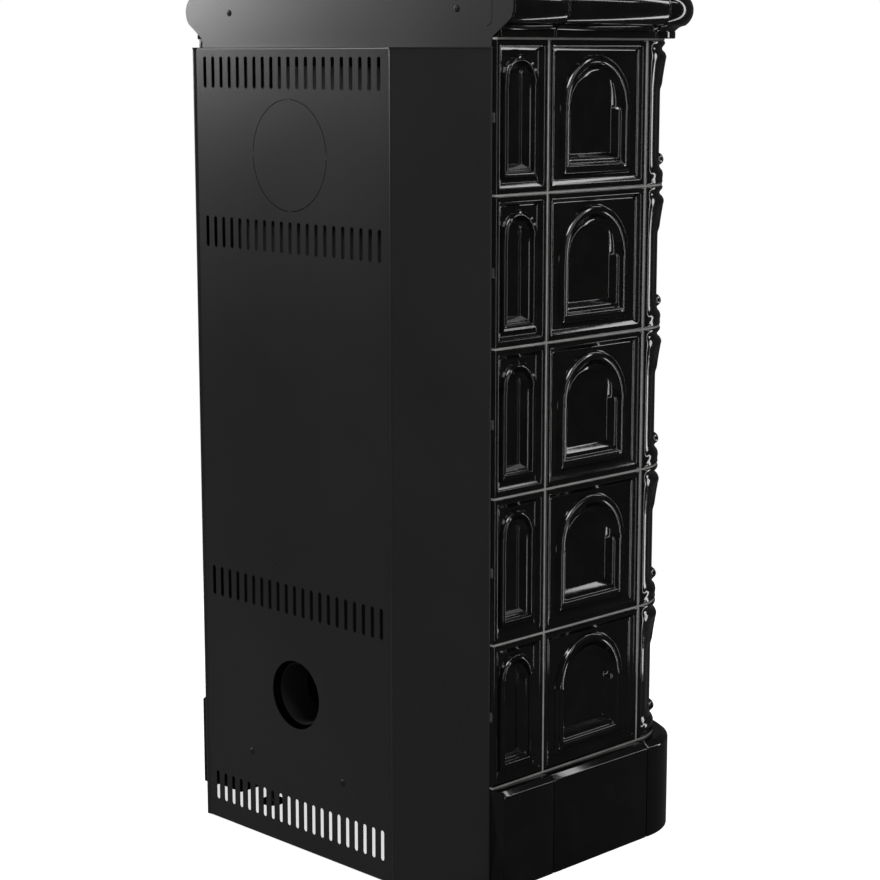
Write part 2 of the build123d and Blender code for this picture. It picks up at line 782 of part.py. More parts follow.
# Spring clips that hold the slim tiles at the casing's edge
clip_sheet = 0.8
clip_half = 7.0
clip_web = cladding_half_width - tile_plate - clip_sheet
with BuildPart() as clips:
    for row_z in row_centers:
        z = (row_z - clip_half, row_z + clip_half)
        block((clip_web - 20, clip_web + clip_sheet), (casing_front, casing_front + clip_sheet), z)
        block((clip_web, clip_web + clip_sheet), (cladding_rear - clip_sheet, casing_front + clip_sheet), z)
        block((clip_web, clip_web + 6), (cladding_rear - clip_sheet, cladding_rear), z)
save_both_sides(clips.part, "tile_clips")

# Base frame on four levelling feet
frame_half = panel_inner
with BuildPart() as base_frame:
    frame_z = (body_bottom - frame_height, body_bottom)
    for side in (-1, 1):
        edge = sorted((side * (frame_half - frame_rail), side * frame_half))
        block(edge, (body_rear + 5, panel_front), frame_z)
    for depth in (rear_rail_depth, front_rail_depth):
        block((-frame_half + frame_rail, frame_half - frame_rail), (depth, depth + frame_rail), frame_z)
    for side in (-1, 1):
        edge = sorted((side * (casing_screw_x - 15), side * (casing_screw_x + 15)))
        block(edge, (sheet, rear_rail_depth), (frame_z[0] + 40, frame_z[0] + 43))
        block(edge, (sheet, 2 * sheet), (frame_z[0] + 5, frame_z[0] + 43))
        rod(side * casing_screw_x, casing_screw_height, (sheet, 2 * sheet), screw_radius, Mode.SUBTRACT)
save(base_frame.part, "base_frame")

foot_spots = [
    (side * foot_x, depth + foot_inset)
    for side in (-1, 1)
    for depth in (rear_rail_depth, front_rail_depth)
]
with BuildPart() as feet:
    for x, depth in foot_spots:
        post(x, depth, (0, foot_pad_height), foot_pad_radius)
        post(x, depth, (foot_pad_height, body_bottom - frame_height), foot_rod_radius)
save(feet.part, "levelling_feet")
nut_height = 8.0
with BuildPart() as nuts:
    for x, depth in foot_spots:
        with BuildSketch(Plane(origin=(x, y_at(depth), body_bottom - frame_height - nut_height))):
            RegularPolygon(9.8, 6)
            Circle(foot_rod_radius, mode=Mode.SUBTRACT)
        extrude(amount=nut_height)
save(nuts.part, "foot_lock_nuts")

# Grate, lining and baffles
lining_half = body_inner - lining_gap
lining_rear = body_rear + body_wall + lining_gap
lining_front = body_front - body_wall - lining_gap
grate_top = grate_height + grate_thick
with BuildPart() as grate:
    block((-lining_half, lining_half), (lining_rear, lining_front), (grate_height, grate_top))
    for step in range(-3, 4):
        block((step * 25 - 5, step * 25 + 5), (200, 380), (grate_height, grate_top), Mode.SUBTRACT)
save(grate.part, "fixed_grate")

floor_top = grate_top + brick
hearth_half = grate_half_width - lining_gap
with BuildPart() as floor_bricks:
    for side in (-1, 1):
        edge = sorted((side * grate_half_width, side * lining_half))
        block(edge, (lining_rear, lining_front), (grate_top, floor_top))
    block((-hearth_half, hearth_half), (lining_rear, grate_depths[0]), (grate_top, floor_top))
    block((-hearth_half, hearth_half), (grate_depths[1], lining_front), (grate_top, floor_top))
save(floor_bricks.part, "floor_bricks")

with BuildPart() as wall_bricks:
    for side in (-1, 1):
        edge = sorted((side * (lining_half - brick), side * lining_half))
        block(edge, (lining_rear + brick + lining_gap, lining_front), (floor_top, baffle_height))
    block((-lining_half, lining_half), (lining_rear, lining_rear + brick), (floor_top, baffle_height))
save(wall_bricks.part, "wall_bricks")

with BuildPart() as baffle:
    block((-lining_half, lining_half), (lining_rear, lining_front - baffle_throat),
          (baffle_height, baffle_height + baffle_thick))
save(baffle.part, "lower_baffle")

with BuildPart() as deflector:
    block((-lining_half, lining_half), (lining_rear + baffle_throat, lining_front),
          (deflector_height, deflector_height + body_wall))
save(deflector.part, "upper_deflector")

with BuildPart() as log_bar:
    block((-lining_half + brick + 5, lining_half - brick - 5), (lining_front - 14, lining_front),
          (floor_top, floor_top + 40))
    for step in range(-5, 6):
        block((step * 28 - 7, step * 28 + 7), (lining_front - 14, lining_front),
              (floor_top + 10, floor_top + 30), Mode.SUBTRACT)
save(log_bar.part, "log_retainer")

# Shaking grate, its guides and its rod
shaker_half = grate_half_width - 5
shaker_depths = (190.0, 390.0)
shaker_top = grate_height - running_gap
with BuildPart() as shaker:
    block((-shaker_half, shaker_half), shaker_depths, (shaker_top - 6, shaker_top))
    for step in range(-3, 4):
        block((step * 25 - 5, step * 25 + 5), (205, 375), (shaker_top - 6, shaker_top), Mode.SUBTRACT)
save(shaker.part, "shaking_grate")

with BuildPart() as guides:
    for side in (-1, 1):
        web = sorted((side * (shaker_half + running_gap), side * (shaker_half + 8)))
        lip = sorted((side * (shaker_half - 6), side * (shaker_half + 8)))
        block(web, (185, 440), (shaker_top - 10, grate_height))
        block(lip, (185, 440), (shaker_top - 10, shaker_top - 6 - running_gap))
save(guides.part, "grate_guides")

knob_front = 512.0
with BuildPart() as shaker_rod:
    rod(shaker_x, rod_z, (shaker_depths[1], knob_front - 14), shaker_rod_radius)
save(shaker_rod.part, "shaker_rod")


def knob(x, z, rear, front, radius):
    # A turned knob on a slim neck.
    with BuildPart() as piece:
        with BuildSketch(Plane(origin=(x, y_at(rear), z), x_dir=(1, 0, 0), z_dir=(0, 0, 1))):
            with BuildLine():
                length = front - rear
                Polyline(
                    (0, 0), (radius * 0.5, 0), (radius * 0.5, -length * 0.45), (radius, -length * 0.6),
                    (radius, -length * 0.88), (radius * 0.75, -length), (0, -length), close=True,
                )
            make_face()
        revolve(axis=Axis((x, y_at(rear), z), (0, 1, 0)))
    return piece.part


save(knob(shaker_x, rod_z, knob_front - 14, knob_front + 8, knob_radius + 2), "shaker_knob")

# Front frame: face plate with a deep rim that the front tiles stand on
with BuildPart() as front_frame:
    block((-rim_half_width, rim_half_width), (body_front, rim_front), (rim_bottom, rim_top))
    block(
        (-rim_half_width + front_sheet, rim_half_width - front_sheet),
        (face_plate_front, rim_front),
        (rim_bottom + front_sheet, rim_top - front_sheet),
        Mode.SUBTRACT,
    )
    front_openings((body_front, face_plate_front))
save(front_frame.part, "front_frame")

# Fire door
opening_x = door_half_width - door_window_inset
opening_z = (door_bottom + door_window_inset, door_top - door_window_inset)
rope_back = face_plate_front + running_gap
rope_seat = door_back + 4.0
door_mid = (door_bottom + door_top) / 2
with BuildPart() as door:
    block((-door_half_width, door_half_width), (door_back, door_front), (door_bottom, door_top))
    front_face = door.faces().sort_by(Axis.Y)[0]
    chamfer(front_face.edges(), door_bevel)
    with BuildSketch(Plane(origin=(0, y_at(door_front), door_mid), x_dir=(1, 0, 0), z_dir=(0, -1, 0))):
        Rectangle(2 * opening_x, opening_z[1] - opening_z[0])
    extrude(amount=-(door_front - door_back), mode=Mode.SUBTRACT)
    mouth_edges = door.edges().filter_by_position(Axis.Y, y_at(door_front) - 0.01, y_at(door_front) + 0.01)
    chamfer(mouth_edges.sort_by(SortBy.LENGTH)[:4], door_bevel)
    with BuildSketch(Plane(origin=(0, y_at(door_back), door_mid), x_dir=(1, 0, 0), z_dir=(0, -1, 0))):
        Rectangle(2 * (door_half_width - rope_inset), door_top - door_bottom - 2 * rope_inset)
        Rectangle(
            2 * (door_half_width - rope_inset - rope_width),
            door_top - door_bottom - 2 * (rope_inset + rope_width),
            mode=Mode.SUBTRACT,
        )
    extrude(amount=rope_seat - door_back, mode=Mode.SUBTRACT)
    rod(-latch_x, door_mid, (door_back, door_front), latch_radius + pin_clearance, Mode.SUBTRACT)
save(door.part, "fire_door")

with BuildPart() as rope:
    with BuildSketch(Plane(origin=(0, y_at(rope_seat), door_mid), x_dir=(1, 0, 0), z_dir=(0, 1, 0))):
        Rectangle(2 * (door_half_width - rope_inset), door_top - door_bottom - 2 * rope_inset)
        Rectangle(
            2 * (door_half_width - rope_inset - rope_width),
            door_top - door_bottom - 2 * (rope_inset + rope_width),
            mode=Mode.SUBTRACT,
        )
    extrude(amount=rope_seat - rope_back)
save(rope.part, "door_rope_seal")

glass_back = door_back - glass_thick
glass_edge = rope_inset + rope_width + glass_gap
with BuildPart() as glass:
    block(
        (-door_half_width + glass_edge, door_half_width - glass_edge),
        (glass_back, door_back),
        (door_bottom + glass_edge, door_top - glass_edge),
    )
save(glass.part, "door_glass")

clip_depths = (glass_back - 2, glass_back)
with BuildPart() as glass_clips:
    outer = door_half_width - rope_inset - rope_width - 0.5
    for side in (-1, 1):
        for height in (door_bottom + 90, door_top - 90):
            z = (height - 12, height + 12)
            block(sorted((side * (outer - 14), side * outer)), clip_depths, z)
            block(sorted((side * (outer - glass_gap + 1), side * outer)), (glass_back, door_back), z)
save(glass_clips.part, "glass_clips")

# Hinges: lugs on the frame with their pins, knuckles on the door
hinge_x, hinge_depth = hinge_axis
with BuildPart() as lugs:
    for height in hinge_heights:
        lug_z = (height - hinge_length, height - running_gap)
        post(hinge_x, hinge_depth, lug_z, hinge_radius)
        block((hinge_x, rim_half_width - front_sheet), (hinge_depth - 7, hinge_depth + 7), lug_z)
        post(hinge_x, hinge_depth, lug_z, pin_radius, Mode.SUBTRACT)
save(lugs.part, "hinge_lugs")

with BuildPart() as pins:
    for height in hinge_heights:
        post(hinge_x, hinge_depth, (height - hinge_length, height + hinge_length), pin_radius)
save(pins.part, "hinge_pins")

with BuildPart() as knuckles:
    for height in hinge_heights:
        knuckle_z = (height, height + hinge_length)
        post(hinge_x, hinge_depth, knuckle_z, hinge_radius)
        block((door_half_width, hinge_x), (hinge_depth - 9, door_front - door_bevel), knuckle_z)
        post(hinge_x, hinge_depth, knuckle_z, pin_radius + pin_clearance, Mode.SUBTRACT)
save(knuckles.part, "hinge_knuckles")

# Door handle and latch, drawn unlatched: the lever stands at an angle and the tongue points down
turn = radians(latch_angle)
lever_end = (-latch_x + lever_length * sin(turn), door_mid - lever_length * cos(turn))
with BuildPart() as lever:
    rod(-latch_x, door_mid, (door_front + running_gap, lever_depth + lever_radius + 2), latch_radius + 5)
    with Locations(Location((-latch_x, y_at(lever_depth), door_mid), (0, -latch_angle, 0))):
        with Locations((0, 0, -lever_length / 2)):
            Cylinder(lever_radius, lever_length)
        with Locations((0, 0, -lever_length)):
            Cylinder(lever_radius + 2, lever_grip)
save(lever.part, "door_handle")

tongue_depths = (face_plate_front + 2.5, door_back - 1.5)
with BuildPart() as latch:
    rod(-latch_x, door_mid, (tongue_depths[0], door_front + running_gap), latch_radius)
    with Locations(Location((-latch_x, y_at(sum(tongue_depths) / 2), door_mid), (0, -latch_angle, 0))):
        with Locations((-latch_reach / 2, 0, 0)):
            Box(latch_reach, tongue_depths[1] - tongue_depths[0], 12)
save(latch.part, "door_latch")

keeper_front = tongue_depths[1] + running_gap
with BuildPart() as keeper:
    rim_inner = rim_half_width - front_sheet
    block((-rim_inner, -rim_inner + 3), (face_plate_front, keeper_front + 4), (door_mid - 12, door_mid + 12))
    block((-rim_inner, -rim_inner + 14), (keeper_front, keeper_front + 4), (door_mid - 12, door_mid + 12))
save(keeper.part, "latch_keeper")

# Ash drawer and its runners
drawer_back_of_front = face_plate_front + running_gap
with BuildPart() as tray:
    block((-drawer_half_width, drawer_half_width), (drawer_rear, drawer_back_of_front), (drawer_bottom, drawer_top))
    block(
        (-drawer_half_width + drawer_wall, drawer_half_width - drawer_wall),
        (drawer_rear + drawer_wall, drawer_back_of_front - drawer_wall),
        (drawer_bottom + drawer_wall, drawer_top),
        Mode.SUBTRACT,
    )
save(tray.part, "ash_tray")
front_half = drawer_half_width + drawer_front_overlap
front_bottom = max(drawer_bottom - 8, rim_bottom + front_sheet + 2)
front_top = drawer_top + drawer_front_overlap
with BuildPart() as drawer_front:
    block((-front_half, front_half), (drawer_back_of_front, drawer_back_of_front + 5), (front_bottom, front_top))
    chamfer(drawer_front.faces().sort_by(Axis.Y)[0].edges(), 2)
save(drawer_front.part, "ash_drawer_front")

bar_depth = drawer_back_of_front + 5
bar_z = (front_bottom + front_top) / 2 + 10
with BuildPart() as drawer_handle:
    for side in (-1, 1):
        rod(side * 50, bar_z, (bar_depth, bar_depth + 36), 5)
    with Locations((0, y_at(bar_depth + 36), bar_z)):
        Cylinder(6, 130, rotation=(0, 90, 0))
save(drawer_handle.part, "ash_drawer_handle")

with BuildPart() as runners:
    for side in (-1, 1):
        edge = sorted((side * (drawer_half_width - runner_width), side * drawer_half_width))
        block(edge, (drawer_rear, body_front - body_wall), (body_bottom + body_wall, drawer_bottom - running_gap))
save(runners.part, "drawer_runners")


slider_rear = face_plate_front + running_gap
slider_front = slider_rear + slider_sheet
sliders = (
    ("primary_air", primary_x, primary_half, primary_height),
    ("secondary_air", secondary_x, secondary_half, secondary_height),
)
for label, center, half, height in sliders:
    low = height - slider_height / 2
    high = height + slider_height / 2
    with BuildPart() as plate:
        block((center - half, center + half), (slider_rear, slider_front), (low, high))
        for step in (-60, -30, 0, 30):
            block((center + step - 5, center + step + 5), (slider_rear, slider_front), (height - 7, height + 7),
                  Mode.SUBTRACT)
    save(plate.part, f"{label}_slider")
    save(knob(center + 15, height, slider_front, slider_front + 24, knob_radius), f"{label}_knob")

lip_rear = slider_front + running_gap
with BuildPart() as slider_guides:
    for label, center, half, height in sliders:
        span = (center - half + 15, center + half - 15)
        for outward in (-1, 1):
            edge = height + outward * slider_height / 2
            bar_edge = sorted((edge + outward * running_gap, edge + outward * 5))
            lip_edge = sorted((edge - outward * 3, edge + outward * 5))
            block(span, (face_plate_front, lip_rear), bar_edge)
            block(span, (lip_rear, lip_rear + 1.5), lip_edge)
save(slider_guides.part, "air_slider_guides")
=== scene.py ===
import json
import math

import bmesh
import bpy
import numpy as np
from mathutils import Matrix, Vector


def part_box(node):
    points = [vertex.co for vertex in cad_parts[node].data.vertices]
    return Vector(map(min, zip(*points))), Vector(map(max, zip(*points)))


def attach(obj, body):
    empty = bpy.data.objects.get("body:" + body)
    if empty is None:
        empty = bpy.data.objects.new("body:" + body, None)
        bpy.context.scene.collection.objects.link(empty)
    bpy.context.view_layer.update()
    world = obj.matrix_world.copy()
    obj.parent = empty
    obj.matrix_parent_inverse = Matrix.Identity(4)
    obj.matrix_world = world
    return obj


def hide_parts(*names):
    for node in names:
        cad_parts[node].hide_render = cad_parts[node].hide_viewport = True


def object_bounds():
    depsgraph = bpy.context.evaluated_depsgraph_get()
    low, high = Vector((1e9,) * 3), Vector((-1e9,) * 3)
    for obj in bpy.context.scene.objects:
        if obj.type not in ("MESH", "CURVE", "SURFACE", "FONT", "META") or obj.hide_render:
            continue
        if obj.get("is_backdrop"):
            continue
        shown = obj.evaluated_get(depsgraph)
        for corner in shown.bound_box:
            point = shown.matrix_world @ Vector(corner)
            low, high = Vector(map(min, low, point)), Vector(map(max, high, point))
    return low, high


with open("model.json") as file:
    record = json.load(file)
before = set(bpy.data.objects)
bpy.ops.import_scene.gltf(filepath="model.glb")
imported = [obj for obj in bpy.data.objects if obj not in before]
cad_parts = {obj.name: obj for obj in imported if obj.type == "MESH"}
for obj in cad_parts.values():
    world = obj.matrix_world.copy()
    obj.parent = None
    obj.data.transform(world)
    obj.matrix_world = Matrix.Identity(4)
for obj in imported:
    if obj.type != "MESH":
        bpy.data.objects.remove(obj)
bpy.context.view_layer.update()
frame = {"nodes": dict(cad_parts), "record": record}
record = frame["record"]
nodes = frame["nodes"]
mm = 0.001

# Places read from the frame, in metres: depths run forward from the casing's back face.
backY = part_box("rear_casing")[1].y
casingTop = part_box("rear_casing")[1].z
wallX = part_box("wide_tiles")[1].x                # face of the side tiles
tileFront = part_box("front_tiles")[0].y           # face of the front tiles
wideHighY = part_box("wide_tiles")[1].y
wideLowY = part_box("wide_tiles")[0].y
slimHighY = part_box("slim_tiles")[1].y
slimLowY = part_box("slim_tiles")[0].y
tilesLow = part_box("wide_tiles")[0].z
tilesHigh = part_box("wide_tiles")[1].z
rowCount = 5
tileHeight = 217 * mm
rowPitch = (tilesHigh - tilesLow - tileHeight) / (rowCount - 1)
rowCenters = [tilesLow + tileHeight / 2 + row * rowPitch for row in range(rowCount)]



def gridFaces(rows, cols, closeCols=False, closeRows=False, start=0):
    # Quads between neighbouring rows and columns of a point grid, wrapped round where it closes.
    rowIndex = np.arange(rows if closeRows else rows - 1)
    colIndex = np.arange(cols if closeCols else cols - 1)
    r, c = np.meshgrid(rowIndex, colIndex, indexing="ij")
    nextRow = (r + 1) % rows
    nextCol = (c + 1) % cols
    quads = np.stack([r * cols + c, r * cols + nextCol, nextRow * cols + nextCol, nextRow * cols + c],
                     axis=-1)
    return (quads.reshape(-1, 4) + start).tolist()


def joined(shells):
    # Several (points, faces) shells as one.
    points = np.concatenate([shell[0] for shell in shells])
    faces = []
    start = 0
    for shellPoints, shellFaces in shells:
        faces += [[index + start for index in face] for face in shellFaces]
        start += len(shellPoints)
    return points, faces


def mirrored(shell):
    # The shell's mirror image across X = 0, its faces turned back to point outwards.
    points, faces = shell
    return points * np.array([-1.0, 1.0, 1.0]), [face[::-1] for face in faces]


def makePiece(name, shell, body, replaced, finish, sharp=32.0):
    # A shell as an object on its body; edges sharper than the given angle stay crisp.
    points, faces = shell
    mesh = bpy.data.meshes.new(name)
    mesh.from_pydata(points.tolist(), [], faces)
    mesh.validate()
    mesh.shade_smooth()
    mesh.set_sharp_from_angle(angle=math.radians(sharp))
    piece = bpy.data.objects.new(name, mesh)
    bpy.context.scene.collection.objects.link(piece)
    mesh.materials.append(finish)
    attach(piece, body)
    if replaced:
        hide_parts(*replaced)
    return piece


def rounded(points, radii, segments=6, closed=False):
    # A polyline whose corners become arcs of the given radii. A support point stands beside each arc,
    # this share of the radius away, so that shading stays flat on the straight runs.
    support = 0.15
    points = np.asarray(points, float)
    out = []
    count = len(points)
    for index in range(count):
        radius = radii[index] if np.ndim(radii) else radii
        if (not closed and index in (0, count - 1)) or radius <= 0:
            out.append(points[index])
            continue
        before = points[index - 1] - points[index]
        after = points[(index + 1) % count] - points[index]
        before = before / np.linalg.norm(before)
        after = after / np.linalg.norm(after)
        half = math.acos(np.clip(before @ after, -1, 1)) / 2
        reach = radius / math.tan(half)
        middle = before + after
        center = points[index] + middle / np.linalg.norm(middle) * radius / math.sin(half)
        start = points[index] + before * reach
        end = points[index] + after * reach
        out.append(start + before * radius * support)
        for step in np.linspace(0, 1, segments + 1):
            chord = start + (end - start) * step - center
            out.append(center + chord / np.linalg.norm(chord) * radius)
        out.append(end + after * radius * support)
    return np.array(out)


def smoothStep(x):
    # 0 below 0, 1 above 1 and 3 x x - 2 x x x between.
    x = np.clip(x, 0, 1)
    return x * x * (3 - 2 * x)



class Wire:
    # A node's output that takes part in arithmetic: each operator adds a Math node.
    def __init__(self, finish, socket):
        self.finish = finish
        self.socket = socket

    def combine(self, operation, first, second):
        return self.finish.node("ShaderNodeMath", {"operation": operation}, {0: first, 1: second})

    def __add__(self, other):
        return self.combine("ADD", self, other)

    def __sub__(self, other):
        return self.combine("SUBTRACT", self, other)

    def __rsub__(self, other):
        return self.combine("SUBTRACT", other, self)

    def __mul__(self, other):
        return self.combine("MULTIPLY", self, other)

    __radd__ = __add__
    __rmul__ = __mul__


class Finish:
    # One material, or the world, and the generic way to add a node to it.
    def __init__(self, name, world=None):
        self.material = world or bpy.data.materials.new(name)
        self.material.use_nodes = True
        self.tree = self.material.node_tree
        if world:
            self.shader = self.tree.nodes["Background"]
        else:
            self.shader = self.tree.nodes["Principled BSDF"]
            self.place = self.node("ShaderNodeTexCoord", output="Object")

    def node(self, kind, settings=None, inputs=None, output=0):
        made = self.tree.nodes.new(kind)
        for key, value in (settings or {}).items():
            if key == "stops":
                ramp = made.color_ramp.elements
                while len(ramp) < len(value):
                    ramp.new(0.5)
                for element, (position, color) in zip(ramp, value):
                    element.position = position
                    element.color = color
            else:
                setattr(made, key, value)
        for key, value in (inputs or {}).items():
            self.connect(made.inputs[key], value)
        return Wire(self, made.outputs[output])

    def connect(self, socket, value):
        if isinstance(value, Wire):
            self.tree.links.new(value.socket, socket)
        else:
            socket.default_value = value

    def noise(self, scale, detail=4.0, roughness=0.5, place=None):
        return self.node("ShaderNodeTexNoise", None, {"Vector": place or self.place, "Scale": scale,
                         "Detail": detail, "Roughness": roughness}, "Fac")

    def stretched(self, x, y, z):
        return self.node("ShaderNodeMapping", None, {"Vector": self.place, "Scale": (x, y, z)})

    def blend(self, factor, first, second):
        # The colour sockets of a Mix node are its sixth and seventh inputs and its second output.
        return self.node("ShaderNodeMix", {"data_type": "RGBA"}, {0: factor, 6: first, 7: second}, 2)

    def bump(self, height, strength, distance, normal=None):
        inputs = {"Height": height, "Strength": strength, "Distance": distance}
        if normal:
            inputs["Normal"] = normal
        return self.node("ShaderNodeBump", None, inputs, "Normal")

    def surface(self, **values):
        for key, value in values.items():
            self.connect(self.shader.inputs[key.replace("_", " ")], value)
        return self.material


def color(value, green=None, blue=None):
    return (value, value if green is None else green, value if blue is None else blue, 1.0)


def smoothMask(finish, value, low, high):
    # 0 below low and 1 above high, with a smooth step between.
    return finish.node("ShaderNodeMapRange", {"interpolation_type": "SMOOTHSTEP"},
                       {"Value": value, "From Min": low, "From Max": high})


def glazeFinish():
    # Black glaze: slow ripples, fine pores and faintly browner patches where it pooled.
    finish = Finish("blackGlaze")
    wave = finish.noise(38.0, 2.0)
    pores = finish.noise(900.0, 2.0)
    ripple = finish.bump(wave, 0.05, 0.0012)
    skin = finish.bump(pores, 0.05, 0.0002, ripple)
    pooled = smoothMask(finish, finish.noise(22.0, 3.0), 0.45, 0.65)
    return finish.surface(
        Base_Color=finish.blend(pooled, color(0.0025), color(0.004, 0.0038, 0.0036)),
        Roughness=0.055 + 0.05 * finish.noise(60.0, 3.0),
        Specular_IOR_Level=0.45,
        Normal=skin,
    )


def groutFinish():
    # Cement joint: broad blotches and a sandy skin.
    finish = Finish("greyGrout")
    blotch = smoothMask(finish, finish.noise(30.0, 4.0), 0.35, 0.7)
    sand = finish.noise(1400.0, 3.0, 0.7)
    return finish.surface(
        Base_Color=finish.blend(blotch, color(0.19, 0.187, 0.18), color(0.26, 0.255, 0.245)),
        Roughness=0.85 + 0.1 * sand,
        Normal=finish.bump(sand, 0.5, 0.0004),
    )


def paintFinish(name, shade, rough, level, grain):
    # Sprayed stove paint: a fine even grain, with faint broad differences of gloss.
    finish = Finish(name)
    speck = finish.noise(grain, 2.0, 0.6)
    cloud = finish.noise(3.5, 3.0)
    return finish.surface(
        Base_Color=finish.blend(smoothMask(finish, cloud, 0.3, 0.7), color(shade), color(shade * 1.18)),
        Roughness=rough + 0.06 * (cloud - 0.5),
        Specular_IOR_Level=level,
        Normal=finish.bump(speck, 0.09, 0.0003),
    )


def castFinish():
    # Sand-cast iron, rough and dark.
    finish = Finish("castIron")
    sand = finish.noise(700.0, 5.0, 0.65)
    return finish.surface(
        Base_Color=finish.blend(sand, color(0.012), color(0.024)),
        Roughness=0.5 + 0.2 * sand,
        Normal=finish.bump(sand, 0.35, 0.0005),
    )


def steelFinish(name, shade, rough, scales):
    # Bare or plated steel, with fine streaks along the axis whose scale is smallest.
    finish = Finish(name)
    streak = finish.noise(220.0, 3.0, 0.6, finish.stretched(*scales))
    return finish.surface(
        Base_Color=finish.blend(streak, color(shade), color(shade * 1.15)),
        Metallic=1.0,
        Roughness=rough + 0.18 * streak,
        Normal=finish.bump(streak, 0.06, 0.0002),
    )


def brickFinish():
    # Flaky buff firebrick, sooted in patches.
    finish = Finish("firebrick")
    flake = finish.noise(260.0, 5.0, 0.7)
    soot = smoothMask(finish, finish.noise(7.0, 4.0), 0.4, 0.75)
    clay = finish.blend(flake, color(0.36, 0.29, 0.19), color(0.55, 0.47, 0.34))
    return finish.surface(
        Base_Color=finish.blend(soot, clay, color(0.17, 0.14, 0.11)),
        Roughness=0.9,
        Normal=finish.bump(flake, 0.5, 0.0012),
    )


def glassFinish():
    # Tinted heat-proof glass with a little haze.
    finish = Finish("ceramicGlass")
    haze = finish.noise(9.0, 3.0)
    return finish.surface(
        Base_Color=color(0.62, 0.55, 0.47),
        Roughness=0.03 + 0.04 * haze,
        Transmission_Weight=1.0,
        IOR=1.5,
    )


def ropeFinish():
    # Braided glass-fibre rope.
    finish = Finish("sealRope")
    fibre = finish.noise(800.0, 3.0, 0.6, finish.stretched(1.0, 1.0, 0.35))
    return finish.surface(
        Base_Color=finish.blend(fibre, color(0.05), color(0.15, 0.148, 0.14)),
        Roughness=0.95,
        Normal=finish.bump(fibre, 0.7, 0.0006),
    )


glaze = glazeFinish()
casingPaint = paintFinish("casingPaint", 0.0125, 0.28, 0.3, 1500.0)
stovePaint = paintFinish("stovePaint", 0.009, 0.5, 0.3, 900.0)
castIron = castFinish()
brightSteel = steelFinish("brightSteel", 0.5, 0.24, (1.0, 1.0, 0.05))
zincSheet = steelFinish("zincSheet", 0.46, 0.34, (0.3, 1.0, 1.0))
finishes = {
    "glazed_tile": glaze,
    "grout": groutFinish(),
    "casing_paint": casingPaint,
    "stove_steel": stovePaint,
    "cast_iron": castIron,
    "bright_steel": brightSteel,
    "zinc_sheet": zincSheet,
    "firebrick": brickFinish(),
    "ceramic_glass": glassFinish(),
    "seal_rope": ropeFinish(),
}
for part in record["subparts"]:
    node = nodes[part["node"]]
    node.data.materials.clear()
    node.data.materials.append(finishes[part["material_slot"]])
print("materials done")


tileShape = {
    "plate": 8 * mm, "rumpInset": 12 * mm, "depth": 40 * mm, "field": 6.5 * mm, "floor": 17 * mm,
    "web": 25 * mm,
    "rimWidth": 9 * mm, "archTop": 20.5 * mm, "archBase": 20.5 * mm,
    "imposteHeight": 1.3 * mm, "imposteSpread": 4 * mm, "springBlend": 5 * mm,
}
wideArch = {"width": 217 * mm, "half": 77 * mm, "niche": 45 * mm}
slimArch = {"width": 108.5 * mm, "half": 37 * mm, "niche": 16 * mm}

# Border profile: inset from the tile's edge and depth below its face, in mm
borderInset = np.array([0, 0.25, 0.9, 1.9, 3.2, 6.0, 7.2, 8.2, 9.2, 10.4, 12.0, 13.6, 14.6, 15.6, 16.6,
                        17.5])
borderDepth = np.array([1.9, 1.0, 0.4, 0.1, 0.0, 0.0, 0.15, 0.55, 1.3, 2.3, 3.5, 4.7, 5.4, 6.0, 6.35, 6.5])

# Arch profile, from the field over the moulding to the niche: share of the way in, and depth in mm
jambShare = np.array([0, 0.02, 0.05, 0.09, 0.13, 0.20, 0.27, 0.33, 0.38, 0.43, 0.47, 0.50, 0.54, 0.60,
                      0.63, 0.67, 0.72, 0.80, 0.88, 0.94, 0.97, 1.0])
jambDepth = np.array([6.5, 5.6, 3.8, 2.1, 1.3, 2.2, 3.1, 2.5, 1.5, 1.3, 2.2, 4.2, 6.6, 7.4, 7.5, 7.9, 9.2,
                      11.6, 14.0, 15.9, 16.7, 17.0])
archDepth = np.array([6.5, 5.6, 3.8, 2.1, 1.3, 2.2, 3.1, 2.5, 1.5, 1.3, 2.3, 4.3, 6.4, 9.0, 10.1, 11.4,
                      12.7, 14.3, 15.5, 16.4, 16.8, 17.0])


